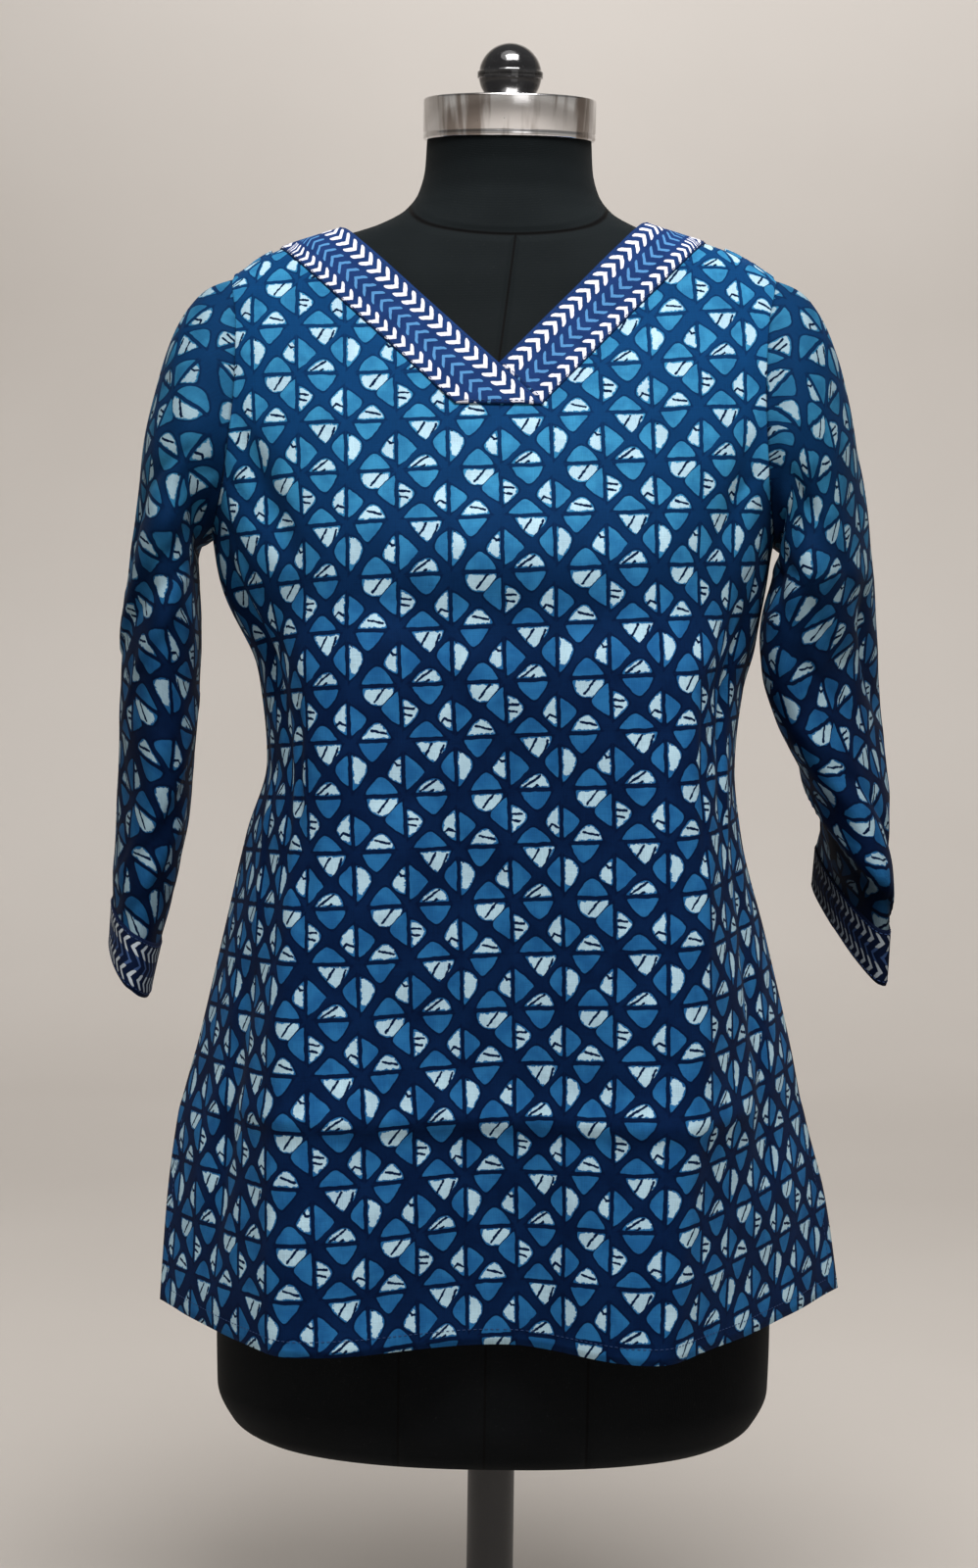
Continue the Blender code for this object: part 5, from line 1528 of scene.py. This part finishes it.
def arrow_row(t, s, middle, reach, half_stroke, pitch, pointing):
    """A row of arrowheads along t, as 1 on a stroke and 0 off it. Lengths are in metres."""
    across = abs(s - middle)
    along = (t * pointing + across) / pitch
    off = abs(along - along.whole() - 0.5) * (pitch * 0.7071)
    past = (across - reach).most(0.0)
    distance = (off * off + past * past).root()
    return distance.rise(half_stroke + ARROW_SOFTNESS, half_stroke - ARROW_SOFTNESS)


def border_print(name, rows, painted_shade_tone=1.0, ground=DEEP_BLUE):
    """Deep blue cotton with its arrowheads. rows hold each row's middle, reach, half stroke, direction and
    colour, the third argument darkens it all over as painted shade, as for the main print, and ground is
    the two blues that the cloth is dyed in."""
    border = Finish(name, {"Specular IOR Level": 0.03, "Sheen Weight": 0.01, "Sheen Roughness": 0.4})
    place = border.noted("strip")
    t, s, _ = border.parts(place)
    wobble = border.noise(place, 260.0, 2.0)
    fuzz = border.noise(place, 2600.0, 1.0)
    washed = border.noise(place, 60.0, 4.0, 0.6)
    threads = border.noise(border.joined(t * THREADS_PER_METRE, s * THREAD_LENGTH), 1.0, 2.0)
    t = t + (wobble - 0.5) * BORDER_WOBBLE
    s = s + (border.noise(place, 230.0, 2.0) - 0.5) * BORDER_WOBBLE
    colour = border.mix(washed.rise(0.3, 0.7), *ground)
    for middle, reach, half_stroke, pointing, dye in rows:
        mark = arrow_row(t, s, middle, reach, half_stroke, ARROW_PITCH, pointing)
        halo = arrow_row(t, s, middle, reach, half_stroke + HALO, ARROW_PITCH, pointing)
        colour = border.mix(halo * 0.35, colour, tuple(0.6 * part for part in ground[0]))
        colour = border.mix(mark, colour, dye)
    # Painted shade: for the cuffs, the colour is darkened all over here.
    border.paint(
        Base_Color=toned(border, colour, (0.88 + washed * 0.18 + (threads - 0.5) * 0.25) * painted_shade_tone),
        Roughness=0.72 + fuzz * 0.14,
        Normal=border.relief(weave(t, s, fuzz), 0.00012, 0.5),
    )
    return border.material


ARROW_PITCH = 0.0078
WHITE_DYE = (0.670, 0.680, 0.780)
PALE_BLUE = (0.070, 0.210, 0.430)
BAND_ROWS = [
    (0.0074, 0.0040, 0.00122, 1.0, WHITE_DYE),
    (0.0200, 0.0042, 0.00090, -1.0, PALE_BLUE),
    (0.0312, 0.0030, 0.00112, 1.0, WHITE_DYE),
]


def band_grid(side, low_line):
    """The strip's place on the front, as points (x, z) on the wearer's side, from low_line up."""
    point, _, along, across = neckline(side)
    rows = []
    for s in np.linspace(0, BAND_WIDTH, BAND_CROSS + 1):
        foot = point + across * s
        reach = foot + along * np.linspace(0.08, 0.22, SEARCH_STEPS)[:, None]
        head = reach[np.argmax(reach[:, 1] > ridge_height(side, reach[:, 0]))]
        head[1] = ridge_height(side, head[0])
        start = foot + along * low_line(foot, along)
        share = 1 - (1 - np.linspace(0, 1, BAND_LONG_ROWS)) ** BAND_CROWDED
        rows.append(start + (head - start) * share[:, None])
    return np.array(rows).transpose(1, 0, 2)


def to_band_foot(foot, along):
    """How far along the strip its flat lower edge lies."""
    return (BAND_BOTTOM_Z - foot[1]) / along[1]


def on_front(side, flat, lift):
    """Points seen from the front as (x, z), laid on the front's outer side and lifted off it."""
    x, z = flat[..., 0] * SIDES[side], flat[..., 1]
    depth = np.maximum(0, joined_depth("front", x, z))
    grid = np.stack([x, -depth, z], axis=-1)
    normals = outward_normals(grid, False)
    return grid + normals * (WALL + lift)[..., None]


def rolled(rows, columns, edge=2.5):
    """1 over a strip and falling to 0 at its edges, as a turned edge does."""
    across = np.minimum(np.arange(columns), columns - 1 - np.arange(columns)) / edge
    return np.sqrt(np.clip(1 - (1 - np.clip(across, 0, 1)) ** 2, 0, 1))[None, :] * np.ones((rows, 1))


def to_right_band(foot, along):
    """The same, where the wearer's left strip goes under the right one."""
    point, _, other, _ = neckline("right")
    start = point * np.array([-1, 1])
    other = other * np.array([-1, 1])
    away = foot - start
    met = (away[1] * other[0] - away[0] * other[1]) / (along[0] * other[1] - along[1] * other[0])
    return max(to_band_foot(foot, along), met - 0.0004)


def neck_band(side, low_line):
    """A strip's surface and the places of its points: along it from the V, across it from its inner edge."""
    flat = band_grid(side, low_line)
    point, _, along, across = neckline(side)
    t, s = (flat - point) @ along, (flat - point) @ across
    line = np.linspace(t.min(), t.max(), 400)
    middle = point + along * line[:, None] + across * BAND_WIDTH / 2
    depth = joined_depth("front", middle[:, 0] * SIDES[side], middle[:, 1])
    worn = np.concatenate([[0], np.cumsum(np.hypot(np.diff(line), np.diff(depth)))])
    worn = np.interp(t, line, worn - np.interp(0, line, worn))
    over = BAND_OVERLAP * smoothstep(*BAND_OVERLAP_ENDS, t) if side == "right" else 0
    edge = rolled(*flat.shape[:2])
    edge[:4] = np.minimum(edge[:4], np.array([0.0, 0.6, 0.85, 1.0])[:, None])
    uneven = BAND_UNEVEN * unevenness(t, s, BAND_SEED[side])
    lift = BAND_LIFT + EDGE_ROLL * edge + over + uneven
    return on_front(side, flat, lift), worn * SIDES[side], s


border = border_print("border_print", BAND_ROWS)
bands = {}
for side, low_line, length in [("left", to_right_band, 0.195), ("right", to_band_foot, 0.217)]:
    grid, t, s = neck_band(side, low_line)
    points = grid.reshape(-1, 3)
    faces = turned_out(points, grid_faces(*grid.shape[:2]), np.array([0, -1, 0]))
    piece = placed("neck_band_of_top_" + side, points, faces, [border])
    note(piece.data, "strip", np.stack([t, s, 0 * t], axis=-1))
    thickened(piece, STRIP_CLOTH)
    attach(piece, "root")
    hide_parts("neck_band_" + side)
    bands[side] = grid


# The cuffs. A strip of border print round each sleeve end, turned in and topstitched at both edges. Its
# ground is darker than the neck bands', and both cuffs are darkened all over by painted shade, the left one
# most, as it hangs in the sleeve's shade.
CUFF_WHITE = (0.640, 0.720, 0.800)
CUFF_BAND_ROWS = [
    (0.0072, 0.0034, 0.00100, 1.0, CUFF_WHITE),
    (0.0155, 0.0034, 0.00080, -1.0, (0.060, 0.120, 0.300)),
    (0.0238, 0.0034, 0.00100, 1.0, CUFF_WHITE),
]
CUFF_NAVY = ((0.0040, 0.0110, 0.0420), (0.0060, 0.0150, 0.0540))
# Painted shade: both cuffs are darkened all over, the left more than the right.
shaded_cuff_borders = {
    "left": border_print("cuff_print_left", CUFF_BAND_ROWS, 0.30, CUFF_NAVY),
    "right": border_print("cuff_print_right", CUFF_BAND_ROWS, 0.62, CUFF_NAVY),
}
cuffs = {}
for side, (sleeve, surface) in sleeves.items():
    ends = surface[-CUFF_ROWS - 1:]
    normals = outward_normals(ends, True)
    edge = rolled(ends.shape[1], len(ends)).T
    grid = ends + normals * (BAND_LIFT + EDGE_ROLL * edge)[..., None]
    steps = np.linalg.norm(np.roll(grid, -1, axis=1) - grid, axis=2).mean(axis=0)
    around = np.broadcast_to(np.concatenate([[0], np.cumsum(steps)[:-1]]), grid.shape[:2])
    down = np.linspace(0, CUFF_DEPTH, len(grid))[:, None] + 0 * around
    piece = tube("cuff_of_top_" + side, grid, [shaded_cuff_borders[side]])
    note(piece.data, "strip", np.stack([around, down, 0 * down], axis=-1))
    thickened(piece, STRIP_CLOTH)
    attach(piece, "root")
    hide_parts("cuff_" + side)
    cuffs[side] = grid


# The stitching. Doubled navy thread, in short stitches along both edges of the bands and cuffs and a finger's
# breadth in from the hem and the slits. Each stitch dips into the cloth at its ends.
STITCH_LENGTH = 0.0023
STITCH_GAP = 0.0010
STITCH_RADIUS = 0.00022
STITCH_SIDES = 6
# Each ring of a stitch: its place along the stitch, its radius and its lift, as shares of length and radius.
STITCH_RINGS = ((-0.5, 0.4, -0.6), (-0.3, 1.0, 0.5), (0.3, 1.0, 0.5), (0.5, 0.4, -0.6))
HEM_ROW = 2
SLIT_COLUMN = -4


def navy_thread():
    thread = Finish("navy_thread", {"Specular IOR Level": 0.3})
    where = thread.coordinates()
    twist = thread.noise(where, 2400.0, 2.0)
    colour = thread.mix(thread.noise(where, 120.0, 2.0), (0.006, 0.022, 0.085), (0.014, 0.045, 0.140))
    thread.paint(Base_Color=colour, Roughness=0.45 + twist * 0.3, Normal=thread.relief(twist, 0.0001, 0.6))
    return thread.material


def stitches(path, normals):
    """Points of six-sided stitches along a path: stitch after stitch, four rings each."""
    lengths = np.concatenate([[0], np.cumsum(np.linalg.norm(np.diff(path, axis=0), axis=1))])
    middles = np.arange(STITCH_LENGTH, lengths[-1] - STITCH_LENGTH, STITCH_LENGTH + STITCH_GAP)

    def along(values, shift):
        return np.stack([np.interp(middles + shift, lengths, values[:, k]) for k in range(3)], axis=1)

    up = unit(along(normals, 0.0))
    ahead = unit(along(path, STITCH_LENGTH / 2) - along(path, -STITCH_LENGTH / 2))
    aside = unit(np.cross(ahead, up))
    angles = np.linspace(0, 2 * math.pi, STITCH_SIDES, endpoint=False)
    rings = []
    for shift, radius, lift in STITCH_RINGS:
        centre = along(path, shift * STITCH_LENGTH) + up * (lift * STITCH_RADIUS)
        spokes = aside[:, None] * np.cos(angles)[:, None] + up[:, None] * np.sin(angles)[:, None]
        rings.append(centre[:, None] + spokes * (radius * STITCH_RADIUS))
    return np.stack(rings, axis=1)


def sewn(name, paths, finish):
    """One object out of the stitches along several paths, each given as (points, normals)."""
    made = np.concatenate([stitches(path, normals) for path, normals in paths])
    faces = []
    rings, sides = len(STITCH_RINGS), STITCH_SIDES
    for first in range(0, len(made) * rings * sides, rings * sides):
        after = first + rings * sides
        faces += grid_faces(rings, sides, True, first).tolist()
        faces += [list(range(first, first + sides))[::-1], list(range(after - sides, after))]
    piece = placed(name, made.reshape(-1, 3), faces, [finish])
    piece.data.shade_smooth()
    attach(piece, "root")


thread = navy_thread()
hem_paths = []
for (panel, side), (grid, _, _) in halves.items():
    normals = outward_normals(grid, False)
    slit_rows = int((SLIT_TOP_Z - HEM_Z) / (UNDERARM_Z - HEM_Z) * SKIRT_ROWS)
    hem_paths.append((grid[HEM_ROW, :SLIT_COLUMN], normals[HEM_ROW, :SLIT_COLUMN]))
    hem_paths.append((grid[HEM_ROW:slit_rows, SLIT_COLUMN], normals[HEM_ROW:slit_rows, SLIT_COLUMN]))
sewn("hem_stitching", hem_paths, thread)
band_paths = []
for grid in bands.values():
    normals = outward_normals(grid, False)
    band_paths += [(grid[2:, k], normals[2:, k]) for k in (1, -2)] + [(grid[1, 1:-1], normals[1, 1:-1])]
sewn("band_stitching", band_paths, thread)
cuff_paths = []
for grid in cuffs.values():
    normals = outward_normals(grid, True)
    for k in (1, -2):
        cuff_paths.append((np.vstack([grid[k], grid[k][:1]]), np.vstack([normals[k], normals[k][:1]])))
sewn("cuff_stitching", cuff_paths, thread)


# The studio. A very wide sheet of pale paper that runs under the form and rises far behind it. A soft box
# hangs above and ahead, a weak one stands ahead, and one lights the wall. A soft skylight and a room with a
# pale horizon fill the shadows.
def studio_paper():
    paper = Finish("studio_paper", {"Specular IOR Level": 0.2})
    where = paper.coordinates()
    grain = paper.noise(where, 600.0, 3.0)
    cloud = paper.noise(where, 0.8, 3.0)
    colour = paper.mix(cloud.rise(0.3, 0.7), (0.600, 0.560, 0.520), (0.640, 0.600, 0.560))
    paper.paint(Base_Color=colour, Roughness=0.85 + grain * 0.1, Normal=paper.relief(grain, 0.0003, 0.3))
    return paper.material


PAPER_HALF = 30.0
PAPER_COLUMNS = 13
COVE_START = 2.6
COVE_RADIUS = 1.6
WALL_TOP = 6.0
profile = [(y, 0.0) for y in (-PAPER_HALF, -1.5, 0.0, 1.3, COVE_START)]
profile += [
    (COVE_START + COVE_RADIUS * math.sin(a), COVE_RADIUS * (1 - math.cos(a)))
    for a in np.linspace(0, math.pi / 2, 24)[1:]
]
profile += [(COVE_START + COVE_RADIUS, WALL_TOP)]
across = np.linspace(-PAPER_HALF, PAPER_HALF, PAPER_COLUMNS)
grid = np.array([[(x, y, z) for x in across] for y, z in profile])
paper = placed("paper", grid.reshape(-1, 3), grid_faces(*grid.shape[:2]), [studio_paper()])
paper.data.shade_smooth()


WARM_WHITE = (1.0, 0.985, 0.97)
SOFT_BOXES = {
    # name: place, what it is turned to, size, power in watts, and colour
    "soft_box_above": ((0.16, -0.95, 2.5), (0, 0, 0.8), (1.1, 0.7), 57.0, WARM_WHITE),
    "soft_box_ahead": ((0.9, -3.2, 1.4), (0, 0, 0.7), (1.4, 1.4), 5.0, (1.0, 0.99, 0.98)),
    "soft_box_wall": ((0.4, 2.0, 3.6), (0.4, 4.2, 3.5), (3.0, 1.2), 58.0, (0.98, 0.985, 1.0)),
}
SKYLIGHT_POWER = 0.94
SKYLIGHT_SPREAD = math.radians(45)
SKYLIGHT_RUNS = (0.10, 0.50, -1.0)


def shining(name, light, place, runs):
    """A lamp that stands at a place and shines the way that runs points."""
    lamp = bpy.data.objects.new(name, light)
    lamp.location = place
    lamp.rotation_euler = Vector(runs).to_track_quat("-Z", "Y").to_euler()
    bpy.context.scene.collection.objects.link(lamp)


for name, (place, aim, size, power, colour) in SOFT_BOXES.items():
    light = bpy.data.lights.new(name, "AREA")
    light.shape = "RECTANGLE"
    light.size, light.size_y = size
    light.energy = power
    light.color = colour
    shining(name, light, place, Vector(aim) - Vector(place))
skylight = bpy.data.lights.new("skylight", "SUN")
skylight.energy = SKYLIGHT_POWER
skylight.angle = SKYLIGHT_SPREAD
skylight.color = WARM_WHITE
shining("skylight", skylight, (0, 0, 0), SKYLIGHT_RUNS)

HORIZON = (0.430, 0.410, 0.380, 1.0)
ROOM_ABOVE = (0.150, 0.147, 0.142, 1.0)
ROOM_ABOVE_FROM = 0.32
world = bpy.data.worlds.new("studio")
world.use_nodes = True
room = world.node_tree
aim = room.nodes.new("ShaderNodeTexCoord")
height = room.nodes.new("ShaderNodeSeparateXYZ")
room.links.new(aim.outputs["Generated"], height.inputs[0])
glow = room.nodes.new("ShaderNodeValToRGB")
glow.color_ramp.elements[0].color = HORIZON
glow.color_ramp.elements[1].position = ROOM_ABOVE_FROM
glow.color_ramp.elements[1].color = ROOM_ABOVE
room.links.new(height.outputs["Z"], glow.inputs["Fac"])
room.links.new(glow.outputs["Color"], room.nodes["Background"].inputs["Color"])
room.nodes["Background"].inputs["Strength"].default_value = 1.0
bpy.context.scene.world = world
bpy.context.scene.view_settings.view_transform = "Standard"


# The camera, 1.5 m ahead and level with the waist, turned by the photo's slight roll. Its frame is shifted
# down, as the photo is cropped at the foot.
CAMERA_PLACE = (-0.00825, -1.5, 0.736)
CAMERA_ROLL = math.radians(0.79)
LENS = 54.43
SENSOR = 36.0
FRAME_SHIFT = -0.075

camera = bpy.data.cameras.new("camera")
camera.sensor_fit = "VERTICAL"
camera.sensor_width = SENSOR
camera.sensor_height = SENSOR
camera.lens = LENS
camera.shift_y = FRAME_SHIFT
viewer = bpy.data.objects.new("camera", camera)
turn = Matrix.Rotation(math.radians(90), 4, "X") @ Matrix.Rotation(CAMERA_ROLL, 4, "Z")
viewer.matrix_world = Matrix.Translation(CAMERA_PLACE) @ turn
bpy.context.scene.collection.objects.link(viewer)
bpy.context.scene.camera = viewer
